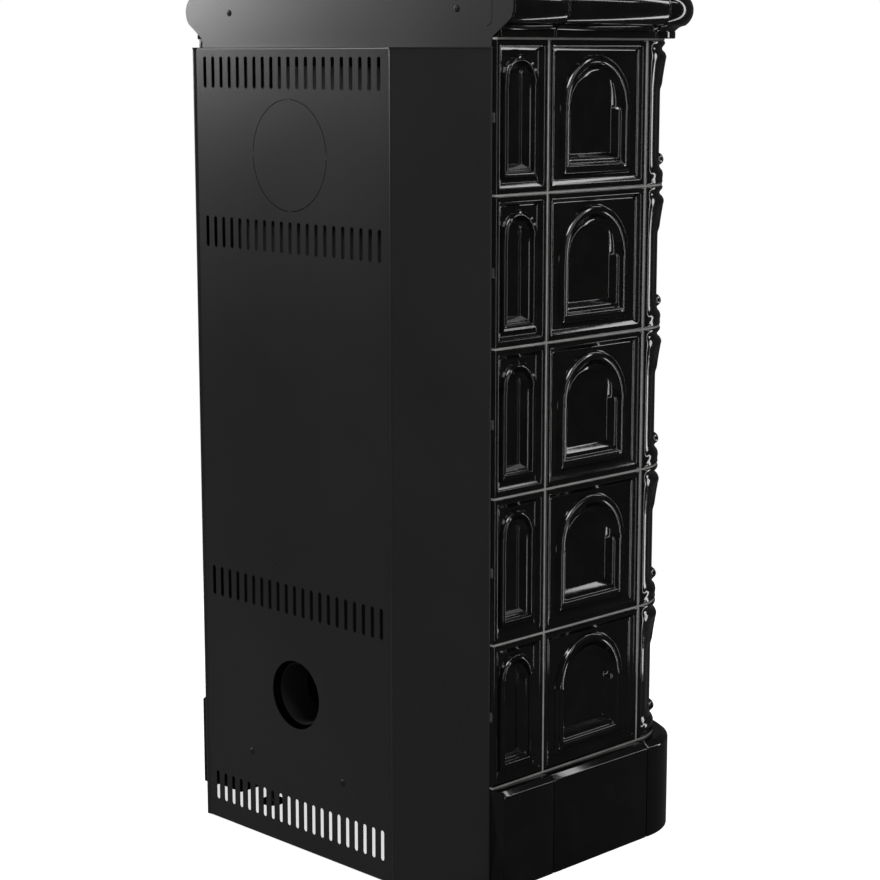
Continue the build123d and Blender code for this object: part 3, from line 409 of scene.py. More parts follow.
def tileShell(arch):
    # A tile as loops of equal count: rectangles from the back over the border, then arches in to the niche.
    width, half = arch["width"], arch["half"]
    height = tileHeight
    spring = height / 2 - tileShape["archTop"] - half
    base = -height / 2 + tileShape["archBase"]
    bottomCount, jambCount, arcCount = 20, 22, 14
    up = np.linspace(0, 1, bottomCount, endpoint=False)
    jamb = np.linspace(0, 1, jambCount, endpoint=False)
    eighth = np.linspace(0, 45, arcCount, endpoint=False)
    quarter = np.linspace(45, 135, 2 * arcCount, endpoint=False)
    last = np.linspace(135, 180, arcCount, endpoint=False)
    angles = np.radians(np.concatenate([eighth, quarter, last]))
    jambLength = spring - base
    sideLength = jambLength + half * math.radians(45)
    sideShare = np.concatenate([jamb * jambLength, jambLength + half * np.radians(eighth)]) / sideLength
    topShare = (quarter - 45) / 90
    backShare = 1 - np.concatenate([jambLength + half * (math.pi - np.radians(last)),
                                    (1 - jamb) * jambLength]) / sideLength

    def rectangle(inset):
        w = width / 2 - inset
        h = height / 2 - inset
        xs = np.concatenate([-w + 2 * w * up, np.full(len(sideShare), w), w - 2 * w * topShare,
                             np.full(len(backShare), -w)])
        ys = np.concatenate([np.full(bottomCount, -h), -h + 2 * h * sideShare, np.full(len(topShare), h),
                             h - 2 * h * backShare])
        return xs, ys

    def archLoop(inset):
        w = half - inset
        low = base + inset
        xs = np.concatenate([-w + 2 * w * up, np.full(jambCount, w), w * np.cos(angles),
                             np.full(jambCount, -w)])
        ys = np.concatenate([np.full(bottomCount, low), low + (spring - low) * jamb,
                             spring + w * np.sin(angles), spring - (spring - low) * jamb])
        return xs, ys

    loops = []
    back = tileShape["depth"]
    rump = tileShape["rumpInset"]
    rimWidth = tileShape["rimWidth"]
    edgeDepth = borderDepth[0] * mm
    for inset, depth in ((rump + rimWidth, tileShape["web"]), (rump + rimWidth, back), (rump, back),
                         (rump, tileShape["plate"]),
                         (0.0, tileShape["plate"]), (0.0, (tileShape["plate"] + edgeDepth) / 2)):
        xs, ys = rectangle(inset)
        loops.append((xs, ys, np.full(len(xs), -depth)))
    for inset, depth in zip(borderInset * mm, borderDepth * mm):
        xs, ys = rectangle(inset)
        loops.append((xs, ys, np.full(len(xs), -depth)))
    outerX, outerY = rectangle(borderInset[-1] * mm)
    archX, archY = archLoop(-0.6 * mm)
    for share in (0.1, 0.5, 0.9, 1.0):
        loops.append((outerX + (archX - outerX) * share, outerY + (archY - outerY) * share,
                      np.full(len(archX), -tileShape["field"])))
    reach = half - arch["niche"]
    for index, share in enumerate(jambShare):
        inset = share * reach
        xs, ys = archLoop(inset)
        onJamb = smoothStep((spring - ys) / tileShape["springBlend"])
        depth = (jambDepth[index] * onJamb + archDepth[index] * (1 - onJamb)) * mm
        onMoulding = smoothStep(share / 0.06) * smoothStep((0.5 - share) / 0.06)
        onMoulding = onMoulding * (np.abs(xs) > 0.5 * (half - inset))
        imposte = np.exp(-((ys - spring) / tileShape["imposteSpread"]) ** 2)
        depth -= tileShape["imposteHeight"] * imposte * onMoulding
        loops.append((xs, ys, -depth))
    for inset in (reach + 2 * mm, reach + (half - reach) * 0.5):
        xs, ys = archLoop(inset)
        loops.append((xs, ys, np.full(len(xs), -tileShape["floor"])))
    points = np.stack([np.stack(loop, axis=-1) for loop in loops])
    rings, around, _ = points.shape
    faces = gridFaces(rings, around, closeCols=True)
    points = points.reshape(-1, 3)
    # the two ends of the stack close on a middle point each
    backMiddle = points[:around].mean(axis=0)
    frontMiddle = np.array([0, spring - half * 0.3, -tileShape["floor"]])
    points = np.concatenate([points, [backMiddle, frontMiddle]])
    following = (np.arange(around) + 1) % around
    lastRing = (rings - 1) * around
    faces += [[rings * around, int(b), int(a)] for a, b in enumerate(following)]
    faces += [[rings * around + 1, lastRing + a, lastRing + int(b)] for a, b in enumerate(following)]
    return points, faces


def onSideWall(shell, middleY, middleZ):
    # The tile's X runs to the back along the +X wall, its Y up and its Z out of the wall.
    points, faces = shell
    placed = np.stack([wallX + points[:, 2], middleY + points[:, 0], middleZ + points[:, 1]], axis=-1)
    return placed, faces


def onFrontWall(shell, middleX, middleZ):
    points, faces = shell
    placed = np.stack([middleX + points[:, 0], tileFront - points[:, 2], middleZ + points[:, 1]], axis=-1)
    return placed, faces


wideShell = tileShell(wideArch)
slimShell = tileShell(slimArch)
wideMiddle = (wideHighY + wideLowY) / 2
slimMiddle = (slimHighY + slimLowY) / 2
wideTiles = [onSideWall(wideShell, wideMiddle, z) for z in rowCenters]
slimTiles = [onSideWall(slimShell, slimMiddle, z) for z in rowCenters]
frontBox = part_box("front_tiles")
halfJoint = 1.5 * mm
frontMiddle = (frontBox[1].x + halfJoint) / 2
frontRows = [z for z in rowCenters if z > frontBox[0].z]
frontTiles = [onFrontWall(wideShell, side * frontMiddle, z) for z in frontRows for side in (-1, 1)]
makePiece("wideReliefTiles", joined(wideTiles + [mirrored(s) for s in wideTiles]), "stove",
          ["wide_tiles"], glaze, 40)
makePiece("slimReliefTiles", joined(slimTiles + [mirrored(s) for s in slimTiles]), "stove",
          ["slim_tiles"], glaze, 40)
makePiece("frontReliefTiles", joined(frontTiles), "stove", ["front_tiles"], glaze, 40)
print("relief tiles done")

column = {
    "radius": 90 * mm, "wall": 8 * mm, "border": 6.0, "depth": 40 * mm, "rumpInset": 12 * mm,
    "rows": 112, "turns": 46,
}
columnX = wallX - column["radius"]
columnY = tileFront + column["radius"]
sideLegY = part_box("corner_tiles")[1].y
frontLegX = frontBox[1].x + 2 * halfJoint

# Turned profile down from the tile's top edge: distance in mm and reach in mm
turnedDown = np.array([0, 1, 2.5, 5.0, 7.0, 8.5, 11, 13.5, 15.5, 18, 21, 24, 28, 34, 40, 52, 66, 73, 90,
                       150, 175, 186, 190, 193, 195.5, 198, 202, 206, 210, 213.5, 215.8, 217])
turnedReach = np.array([88.6, 89.6, 90, 89.6, 88.6, 86.6, 85.4, 85.6, 86.6, 88.0, 88.6, 88.8, 88.4, 87.2,
                        86.2, 84.9, 83.9, 83.5, 83.5, 83.5, 83.5, 83.7, 84.2, 84.9, 86.6, 88.8, 90.0,
                        90.0, 89.4, 89.6, 89.9, 88.9])


def columnReach(angle, down):
    # Reach from the column's axis at an angle in degrees and a distance below the tile's top, in mm:
    # the turned profile, less the flutes, plus leaf, petals, scrolls and bud. Each ornament is a height
    # times a bell curve exp(-(x / width) ** 2), across the angle and down the tile.
    turned = np.interp(down, turnedDown, turnedReach)
    edge = smoothStep((np.minimum(angle, 90 - angle) - 0.5) / column["border"])
    onShaft = smoothStep((down - 66) / 12) * smoothStep((184 - down) / 10)
    flutes = -1.5 * onShaft * (np.exp(-((angle - 24) / 5.2) ** 2) + np.exp(-((angle - 66) / 5.2) ** 2)
                               + 0.7 * np.exp(-((angle - 45) / 4.5) ** 2))
    across = angle - 45
    leafWidth = np.interp(down, [15, 22, 34, 50, 66, 76], [9, 15, 12.5, 9, 7, 4])
    leafRise = np.interp(down, [14, 18, 24, 30, 36, 50, 66, 76], [0, 2.0, 3.6, 3.2, 3.6, 3.2, 2.4, 0])
    leaf = leafRise * np.exp(-(across / leafWidth) ** 4)
    vein = -1.1 * smoothStep((down - 30) / 6) * smoothStep((72 - down) / 6) * np.exp(-(across / 2.2) ** 2)
    petals = 2.6 * (np.exp(-((angle - 33) / 4.2) ** 2) + np.exp(-((angle - 57) / 4.2) ** 2)) \
        * np.exp(-((down - 61) / 9.5) ** 2)
    scroll = 1.6 * np.exp(-((down - 25) / 5.5) ** 2) * (np.exp(-((angle - 28) / 6) ** 2)
                                                       + np.exp(-((angle - 62) / 6) ** 2))
    budRadius = 9.0
    budAway = np.hypot(across * 84 * math.pi / 180, down - 180)
    bud = np.sqrt(np.clip(budRadius ** 2 - budAway ** 2, 0, None)) * 0.85
    reach = turned + flutes + leaf + vein + petals + scroll + bud
    return (90 * (1 - edge) + reach * edge) * mm


def columnShell():
    # A closed shell: at each height a loop along the outer face and back along the inner one.
    turns, rows = column["turns"], column["rows"]
    angles = np.linspace(0, 90, turns + 1)
    downs = np.linspace(0, tileHeight / mm, rows + 1)
    angleGrid, downGrid = np.meshgrid(angles, downs)
    reach = columnReach(angleGrid, downGrid)
    rim = np.interp(downGrid, [0, 0.6, 1.6, 215.4, 216.4, 217], [1.4, 0.4, 0, 0, 0.4, 1.4]) * mm
    reach = reach - rim
    outerX = columnX + reach * np.cos(np.radians(angleGrid))
    outerY = columnY - reach * np.sin(np.radians(angleGrid))
    side = np.linspace(sideLegY, columnY, 5, endpoint=False)
    heel = frontLegX + column["rumpInset"]
    front = np.array([(columnX + heel) / 2, heel, heel - 0.1 * mm, frontLegX + 1.2 * mm, frontLegX])
    sideReach = column["radius"] - rim[:, :1] - np.interp(side, [sideLegY - 1.2 * mm, sideLegY],
                                                          [0, 1.2 * mm])
    frontReach = column["radius"] - rim[:, :1] - np.interp(front, [frontLegX, frontLegX + 1.2 * mm],
                                                           [1.2 * mm, 0])
    legX = columnX + sideReach
    legY = np.broadcast_to(side, legX.shape)
    toeX = np.broadcast_to(front, frontReach.shape)
    toeY = columnY - frontReach
    xs = np.concatenate([legX, outerX, toeX], axis=1)
    ys = np.concatenate([legY, outerY, toeY], axis=1)
    inner = column["radius"] - column["depth"]
    innerAngles = np.radians(np.linspace(90, 0, turns + 1))
    frontInside = np.where(front < heel, column["wall"], column["depth"])
    backX = np.concatenate([front[::-1], columnX + inner * np.cos(innerAngles),
                            np.full(len(side), wallX - column["wall"])])
    backY = np.concatenate([tileFront + frontInside[::-1], columnY - inner * np.sin(innerAngles),
                            side[::-1]])
    xs = np.concatenate([xs, np.broadcast_to(backX, (rows + 1, len(backX)))], axis=1)
    ys = np.concatenate([ys, np.broadcast_to(backY, (rows + 1, len(backY)))], axis=1)
    zs = np.broadcast_to((tileHeight / 2 - downs * mm)[:, None], xs.shape)
    points = np.stack([xs, ys, zs], axis=-1)
    around = xs.shape[1]
    faces = gridFaces(rows + 1, around, closeCols=True)
    half = around // 2
    for row, flip in ((0, True), (rows, False)):
        start = row * around
        for index in range(half - 1):
            cap = [start + index, start + index + 1, start + around - 2 - index, start + around - 1 - index]
            faces.append(cap[::-1] if flip else cap)
    return points.reshape(-1, 3), faces


cornerShell = columnShell()
corners = [(cornerShell[0] + np.array([0, 0, z]), cornerShell[1]) for z in rowCenters]
for name, shells in (("cornerColumnsRight", corners),
                     ("cornerColumnsLeft", [mirrored(s) for s in corners])):
    makePiece(name, joined(shells), "stove", ["corner_tiles"], glaze, 50)
print("corner columns done")


def sweptRun(profile, path, normals, rounding=1.6 * mm):
    # A closed profile of (out, height) carried along a plan path. Each end draws the profile in along
    # its own normal by rounding * (1 - sqrt(1 - u * u)), u running from 1 at the end to 0 a rounding
    # away from it.
    profile = np.asarray(profile)
    path = np.asarray(path, float)
    normals = np.asarray(normals, float)
    along = np.roll(profile, -1, axis=0) - np.roll(profile, 1, axis=0)
    lengths = np.linalg.norm(along, axis=1)[:, None]
    outward = np.stack([along[:, 1], -along[:, 0]], axis=-1) / lengths
    first = (path[1] - path[0]) / np.linalg.norm(path[1] - path[0])
    last = (path[-1] - path[-2]) / np.linalg.norm(path[-1] - path[-2])
    distances = rounding * (1 - np.sin(np.radians(np.linspace(90, 0, 5))))
    drawn = rounding * (1 - np.sqrt(1 - (1 - distances / rounding) ** 2))
    path = np.concatenate([path[0] + first * distances[:, None], path[1:-1],
                           path[-1] - last * distances[::-1, None]])
    normals = np.concatenate([np.repeat(normals[:1], 5, axis=0), normals[1:-1],
                              np.repeat(normals[-1:], 5, axis=0)])
    inset = np.concatenate([drawn, np.zeros(len(path) - 10), drawn[::-1]])
    out = profile[None, :, 0] - inset[:, None] * outward[None, :, 0]
    up = profile[None, :, 1] - inset[:, None] * outward[None, :, 1]
    xs = path[:, None, 0] + normals[:, None, 0] * out
    ys = path[:, None, 1] + normals[:, None, 1] * out
    points = np.stack([xs, ys, up], axis=-1)
    stations, around = xs.shape
    faces = gridFaces(stations, around, closeCols=True)
    faces.append(list(range(around))[::-1])
    faces.append([(stations - 1) * around + index for index in range(around)])
    return points.reshape(-1, 3), faces


crown = {
    "proud": 6.5 * mm, "neck": 10.5 * mm, "rollRadius": 28 * mm, "rollOut": 5.5 * mm,
    "rollHeight": 42.5 * mm,
    "rollStart": -50, "reachIn": 60 * mm, "flange": 14 * mm, "cornerRadius": 75 * mm, "wall": 12 * mm,
}
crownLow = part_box("crown_long")[0].z
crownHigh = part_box("crown_long")[1].z
rollZ = crownLow + crown["rollHeight"]


def crownProfile():
    # Neck band, hollow, the large roll as an arc, a small step and the flat top, then back inside.
    proud, neck, radius, out = crown["proud"], crown["neck"], crown["rollRadius"], crown["rollOut"]
    start = math.radians(crown["rollStart"])
    roll = [(out + radius * math.cos(a), rollZ + radius * math.sin(a))
            for a in np.linspace(start, math.pi / 2, 30)]
    hollowEnd = (out + radius * math.cos(start) - 2.2 * mm, rollZ + radius * math.sin(start) - 1.6 * mm)
    outer = [(proud - crown["wall"], crownLow), (proud - 1.2 * mm, crownLow), (proud, crownLow + 1.2 * mm),
             (proud, crownLow + neck - 1 * mm), (proud - 0.8 * mm, crownLow + neck)]
    hollow = [(proud + 0.4 * mm, crownLow + neck + 1.6 * mm)]
    first = np.array(hollow[0])
    last = np.array(hollowEnd)
    for share in np.linspace(0, 1, 7)[1:]:
        sag = 1.5 * mm * math.sin(math.pi * share)
        point = first + (last - first) * share + np.array([-0.6, 0.8]) * sag
        hollow.append(tuple(point))
    topStep = [(out - 6 * mm, rollZ + radius + 0.2 * mm), (out - 8 * mm, rollZ + radius + 1.2 * mm),
               (out - 14 * mm, crownHigh - 3 * mm), (out - 16 * mm, crownHigh - 1 * mm),
               (out - 19 * mm, crownHigh)]
    inside = [(-crown["reachIn"], crownHigh), (-crown["reachIn"], crownHigh - crown["flange"]),
              (proud - crown["wall"] - 8 * mm, crownHigh - crown["flange"]),
              (out + 6 * mm, rollZ + crown["wall"]),
              (out + radius - crown["wall"], rollZ), (out + 6 * mm, rollZ - crown["wall"]),
              (proud - crown["wall"], crownLow + neck + 8 * mm)]
    return np.array(outer + hollow + roll + topStep + inside)


def straightPath(start, end, x=None, y=None):
    # A straight run along the side wall at x, or along the front wall at y.
    if x is not None:
        return [(x, start), (x, end)], [(1, 0), (1, 0)]
    return [(start, y), (end, y)], [(0, -1), (0, -1)]


def cornerPath(cornerRadius, startY, endX, offset):
    # Down the side wall, round the corner and along the front; offset is the arc's distance from the
    # wall's face.
    centerX = wallX + offset - cornerRadius
    centerY = tileFront - offset + cornerRadius
    reach = cornerRadius - offset
    angles = np.radians(np.linspace(0, 90, 29))
    path = [(wallX, startY)]
    normals = [(1, 0)]
    for angle in angles:
        path.append((centerX + reach * math.cos(angle), centerY - reach * math.sin(angle)))
        normals.append((math.cos(angle), -math.sin(angle)))
    path.append((endX, tileFront))
    normals.append((0, -1))
    return path, normals


def pairOf(name, profile, path, normals, replaced):
    # One run and its mirror image, as one piece.
    shell = sweptRun(profile, path, normals)
    return makePiece(name, joined([shell, mirrored(shell)]), "stove", [replaced], glaze, 34)


crownOutline = crownProfile()
for name, node in (("crownShort", "crown_short"), ("crownLong", "crown_long")):
    low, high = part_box(node)
    path, normals = straightPath(high.y, low.y, x=wallX)
    pairOf(name, crownOutline, path, normals, node)
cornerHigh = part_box("crown_corner")[1]
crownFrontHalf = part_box("crown_front")[1].x
path, normals = cornerPath(crown["cornerRadius"], cornerHigh.y, crownFrontHalf + halfJoint, crown["proud"])
pairOf("crownCorner", crownOutline, path, normals, "crown_corner")
path, normals = straightPath(crownFrontHalf, halfJoint / 2, y=tileFront)
pairOf("crownFront", crownOutline, path, normals, "crown_front")

plinth = {"proud": 24 * mm, "bevelOut": 10 * mm, "bevelDown": 7.5 * mm, "wall": 14 * mm,
          "flange": 12.5 * mm}
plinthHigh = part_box("plinth_long")[1].z


def plinthProfile():
    proud = plinth["proud"]
    ledge = proud - plinth["bevelOut"]
    low = plinthHigh - plinth["flange"]
    corner = [(proud, 0.0), (proud, plinthHigh - plinth["bevelDown"]), (ledge, plinthHigh),
              (-tileShape["depth"], plinthHigh), (-tileShape["depth"], low), (proud - plinth["wall"], low),
              (proud - plinth["wall"], 0.0)]
    return rounded(corner, [1.0 * mm, 4 * mm, 2.2 * mm, 0, 0, 0, 0], 6, closed=True)


plinthOutline = plinthProfile()
low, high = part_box("plinth_long")
path, normals = straightPath(high.y, low.y, x=wallX)
pairOf("plinthLong", plinthOutline, path, normals, "plinth_long")
# The short run's inner wall moves in behind the web, which closes its rear end
low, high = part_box("plinth_short")
web = high.y - plinth["wall"]
path = [(wallX, high.y), (wallX, web), (wallX, web - 0.05 * mm), (wallX, low.y)]
shortPoints, shortFaces = sweptRun(plinthOutline, path, [(1, 0)] * 4)
stations = shortPoints.reshape(-1, len(plinthOutline), 3)
behindWeb = stations[:, :, 1] > web - 0.01 * mm
onInnerWall = (plinthOutline[:, 0] < plinth["proud"] - plinth["wall"] + 1 * mm) & (plinthOutline[:, 0] > 0)
belowFlange = plinthOutline[:, 1] < plinthHigh - plinth["flange"] + 1 * mm
closing = behindWeb & onInnerWall & belowFlange
stations[:, :, 0] = np.where(closing, wallX - column["wall"], stations[:, :, 0])
shortShell = (stations.reshape(-1, 3), shortFaces)
makePiece("plinthShort", joined([shortShell, mirrored(shortShell)]), "stove",
          ["plinth_short"], glaze, 34)
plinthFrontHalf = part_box("plinth_front")[1].x
path, normals = cornerPath(column["radius"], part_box("plinth_corner")[1].y, plinthFrontHalf + halfJoint, 0.0)
pairOf("plinthCorner", plinthOutline, path, normals, "plinth_corner")
path, normals = straightPath(plinthFrontHalf, halfJoint / 2, y=tileFront)
pairOf("plinthFront", plinthOutline, path, normals, "plinth_front")
print("crown and plinth done")

casing = {
    "sheet": 2 * mm, "bend": 3.0 * mm, "halfWidth": 323.5 * mm, "chamfer": 102 * mm,
    "returnInner": 263.5 * mm,
    "bottom": 2 * mm, "seam": 9 * mm, "bandHeight": 14 * mm,
    "slotCount": 21, "slotPitch": 19.56 * mm, "slotWidth": 7.7 * mm, "slotLength": 48 * mm,
    "slotRows": [1206.8, 962.3, 401.8, 57.0],
    "inletRadius": 54.5 * mm, "inletHeight": 251 * mm,
    "cutRadius": 83.0 * mm, "cutHeight": 1085 * mm, "kerf": 1.2 * mm, "backSheet": 1.1 * mm, "tabs": 4,
    "tabWidth": 8 * mm,
    "screwX": 108 * mm, "screwHeight": 135 * mm, "screwRadius": 2.5 * mm,
    "sideScrewDepth": 45 * mm, "sideScrewHeight": 133 * mm,
}
backHalf = casing["halfWidth"] - casing["chamfer"]
bendReach = casing["bend"] * math.sqrt(2)


def planPath():
    # The fold's outline in plan, from one return flange round the back to the other. Its normals point
    # into the casing, so the folded sheet's thickness lies outside the outline.
    half, bend = casing["halfWidth"] + bendReach, casing["bend"]
    corners = [(casing["returnInner"], casing["chamfer"]), (half, casing["chamfer"]), (backHalf, 0),
               (-backHalf, 0), (-half, casing["chamfer"]), (-casing["returnInner"], casing["chamfer"])]
    outline = rounded(corners, bend, 7)
    along = np.gradient(outline, axis=0)
    along /= np.linalg.norm(along, axis=1)[:, None]
    normals = np.stack([along[:, 1], -along[:, 0]], axis=-1)
    flipped = np.array([1.0, -1.0])
    return np.array([0.0, backY]) + outline * flipped, normals * flipped


def foldedWall(profile, path, normals):
    # A closed (out, height) profile carried along the fold, its ends closed.
    xs = path[:, None, 0] + normals[:, None, 0] * profile[None, :, 0]
    ys = path[:, None, 1] + normals[:, None, 1] * profile[None, :, 0]
    zs = np.broadcast_to(profile[None, :, 1], xs.shape)
    stations, around = xs.shape
    faces = gridFaces(stations, around, closeCols=True)
    faces.append(list(range(around)))
    faces.append([(stations - 1) * around + index for index in range(around)][::-1])
    return np.stack([xs, ys, zs], axis=-1).reshape(-1, 3), [face[::-1] for face in faces]


def sheetWall(low, high):
    # The sheet's section between two heights, with points near its edges for even shading.
    sheet = casing["sheet"]
    step = 0.6 * mm
    return np.array([(0, low), (0, low + step), (0, high - step), (0, high), (-sheet, high), (-sheet, low)])


def bentTop(low):
    # The wall's last part with the bend into the lid.
    bend, sheet = casing["bend"], casing["sheet"]
    top = casingTop - bend
    angles = np.radians(np.linspace(0, 90, 9))
    outer = [(-bend + bend * math.cos(a), top + bend * math.sin(a)) for a in angles]
    inner = [(-bend + (bend - sheet) * math.cos(a), top + (bend - sheet) * math.sin(a))
             for a in angles[::-1]]
    return np.array([(0, low), (0, top - 0.5 * mm)] + outer + inner + [(-sheet, low)])


def flatSheet(name, outline, holes, thickness, middleY, replaced):
    # A sheet that stands across the depth: an outline with holes, filled flat and given its thickness.
    curve = bpy.data.curves.new(name, "CURVE")
    curve.dimensions = "2D"
    curve.fill_mode = "BOTH"
    curve.extrude = thickness / 2
    for loop in [outline] + holes:
        spline = curve.splines.new("POLY")
        spline.points.add(len(loop) - 1)
        flat = np.zeros((len(loop), 4))
        flat[:, :2] = loop
        flat[:, 3] = 1
        spline.points.foreach_set("co", flat.ravel())
        spline.use_cyclic_u = True
    holder = bpy.data.objects.new(name + "Curve", curve)
    bpy.context.scene.collection.objects.link(holder)
    mesh = bpy.data.meshes.new_from_object(holder.evaluated_get(bpy.context.evaluated_depsgraph_get()))
    bpy.data.objects.remove(holder)
    points = np.empty(len(mesh.vertices) * 3)
    mesh.vertices.foreach_get("co", points)
    points = points.reshape(-1, 3)
    standing = np.stack([-points[:, 0], middleY + points[:, 2], points[:, 1]], axis=-1)
    mesh.vertices.foreach_set("co", standing.ravel())
    mesh.name = name
    mesh.materials.clear()
    mesh.materials.append(casingPaint)
    weld = bmesh.new()
    weld.from_mesh(mesh)
    bmesh.ops.remove_doubles(weld, verts=weld.verts, dist=1e-6)
    bmesh.ops.recalc_face_normals(weld, faces=weld.faces)
    weld.to_mesh(mesh)
    weld.free()
    mesh.shade_smooth()
    mesh.set_sharp_from_angle(angle=math.radians(25))
    piece = bpy.data.objects.new(name, mesh)
    bpy.context.scene.collection.objects.link(piece)
    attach(piece, "stove")
    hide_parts(replaced)
    return piece


def circleLoop(x, z, radius, count):
    angles = np.linspace(0, 2 * math.pi, count, endpoint=False)
    return np.stack([x + radius * np.cos(angles), z + radius * np.sin(angles)], axis=-1)


def slotLoop(x, z, width, length):
    # A round-ended slot that stands upright.
    radius = width / 2
    top = np.radians(np.linspace(0, 180, 8))
    bottom = np.radians(np.linspace(180, 360, 8))
    reach = length / 2 - radius
    return np.concatenate([
        np.stack([x + radius * np.cos(top), z + reach + radius * np.sin(top)], axis=-1),
        np.stack([x + radius * np.cos(bottom), z - reach + radius * np.sin(bottom)], axis=-1),
    ])


def arcSlot(x, z, radius, kerf, start, end, count=40):
    # A cut of the kerf's width along an arc.
    angles = np.radians(np.linspace(start, end, count))
    around = np.stack([np.cos(angles), np.sin(angles)], axis=-1)
    return np.array([x, z]) + np.concatenate([around * (radius + kerf / 2),
                                              around[::-1] * (radius - kerf / 2)])


path, normals = planPath()
seamX = backHalf - casing["seam"]
middle = np.array([(seamX, backY), (-seamX, backY)])
split = int(np.argmax(path[:, 0] < 0))
leftPath = np.concatenate([path[:split], middle[:1]])
leftNormals = np.concatenate([normals[:split], [(0.0, 1.0)]])
bandLow = casingTop - casing["bandHeight"]
wallProfile = sheetWall(casing["bottom"], bandLow)
side = foldedWall(wallProfile, leftPath, leftNormals)
bandPath = np.concatenate([path[:split], middle, path[split:]])
bandNormals = np.concatenate([normals[:split], [(0.0, 1.0), (0.0, 1.0)], normals[split:]])
band = foldedWall(bentTop(bandLow), bandPath, bandNormals)
lidPath = bandPath - bandNormals * casing["bend"] * 0.999
lidCount = len(lidPath)
lidTop = np.column_stack([lidPath, np.full(lidCount, casingTop)])
lidUnder = np.column_stack([lidPath, np.full(lidCount, casingTop - casing["sheet"])])
lidPoints = np.concatenate([lidTop, lidUnder])
following = (np.arange(lidCount) + 1) % lidCount
lidFaces = [list(range(lidCount)), list(range(lidCount, 2 * lidCount))[::-1]]
lidFaces += [[a, a + lidCount, int(b) + lidCount, int(b)] for a, b in enumerate(following)]
makePiece("casingFold", joined([side, mirrored(side), band]), "stove", ["rear_casing"],
          casingPaint, 38)
makePiece("casingLid", (lidPoints, lidFaces), "stove", ["rear_casing"], casingPaint, 38)

# The flat sheet is drawn as seen from behind, so its X runs the other way
slots = []
for z in casing["slotRows"]:
    for index in range(casing["slotCount"]):
        x = (index - (casing["slotCount"] - 1) / 2) * casing["slotPitch"]
        slots.append(slotLoop(x, z * mm, casing["slotWidth"], casing["slotLength"]))
tabAngle = math.degrees(casing["tabWidth"] / casing["cutRadius"])
for index in range(casing["tabs"]):
    first = 90 + index * 360 / casing["tabs"] + tabAngle / 2
    slots.append(arcSlot(0, casing["cutHeight"], casing["cutRadius"], casing["kerf"], first,
                         first + 360 / casing["tabs"] - tabAngle))
slots.append(circleLoop(0, casing["inletHeight"], casing["inletRadius"], 72))
slots += [circleLoop(x, casing["screwHeight"], casing["screwRadius"], 16)
          for x in (-casing["screwX"], casing["screwX"])]
sheetOutline = [(-seamX, casing["bottom"]), (seamX, casing["bottom"]), (seamX, bandLow), (-seamX, bandLow)]
flatSheet("casingBack", sheetOutline, slots, casing["backSheet"], backY - casing["backSheet"] / 2,
          "rear_casing")

plate = {"gap": 1.5 * mm, "neckIn": 9.5 * mm, "slit": 1.0 * mm, "screwX": 254 * mm,
         "screwHeight": 1298 * mm}


def crownPlateOutline():
    # Half the outline from the middle of its foot to the middle of its top, then the other half.
    rollX = wallX + crown["rollOut"]
    radius = crown["rollRadius"] - plate["gap"]
    angles = np.radians(np.linspace(-45, 90, 22))
    neckX = wallX - plate["neckIn"]
    half = [(neckX, casingTop), (neckX, crownLow)]
    half += [(rollX + radius * math.cos(a), rollZ + radius * math.sin(a)) for a in angles]
    half += [(rollX - 8 * mm, rollZ + radius), (rollX - 20 * mm, crownHigh - plate["gap"])]
    other = [(-x, z) for x, z in half[::-1]]
    return np.array(half + other)


def hookSlit():
    # A thin slit near the plate's end that curls round at its foot.
    x = np.array([323.7, 323.7, 323.3, 322.2, 319.9, 317.2, 314.1]) * mm
    z = np.array([1308.7, 1282.6, 1280.0, 1277.8, 1275.8, 1274.2, 1273.1]) * mm
    line = np.stack([x, z], axis=-1)
    along = np.gradient(line, axis=0)
    along /= np.linalg.norm(along, axis=1)[:, None]
    across = np.stack([along[:, 1], -along[:, 0]], axis=-1) * plate["slit"] / 2
    return np.concatenate([line + across, (line - across)[::-1]])


plateFront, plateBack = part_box("crown_back_plate")[0].y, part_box("crown_back_plate")[1].y
plateHoles = [circleLoop(x, plate["screwHeight"], casing["screwRadius"], 16)
              for x in (-plate["screwX"], plate["screwX"])]
flatSheet("crownPlate", crownPlateOutline(), plateHoles + [hookSlit()], plateBack - plateFront,
          (plateBack + plateFront) / 2, "crown_back_plate")
print("casing done")

screwHead = {"radius": 5 * mm, "height": 2.1 * mm, "cross": 2.6 * mm, "crossWidth": 0.65 * mm,
             "crossDepth": 1.5 * mm}


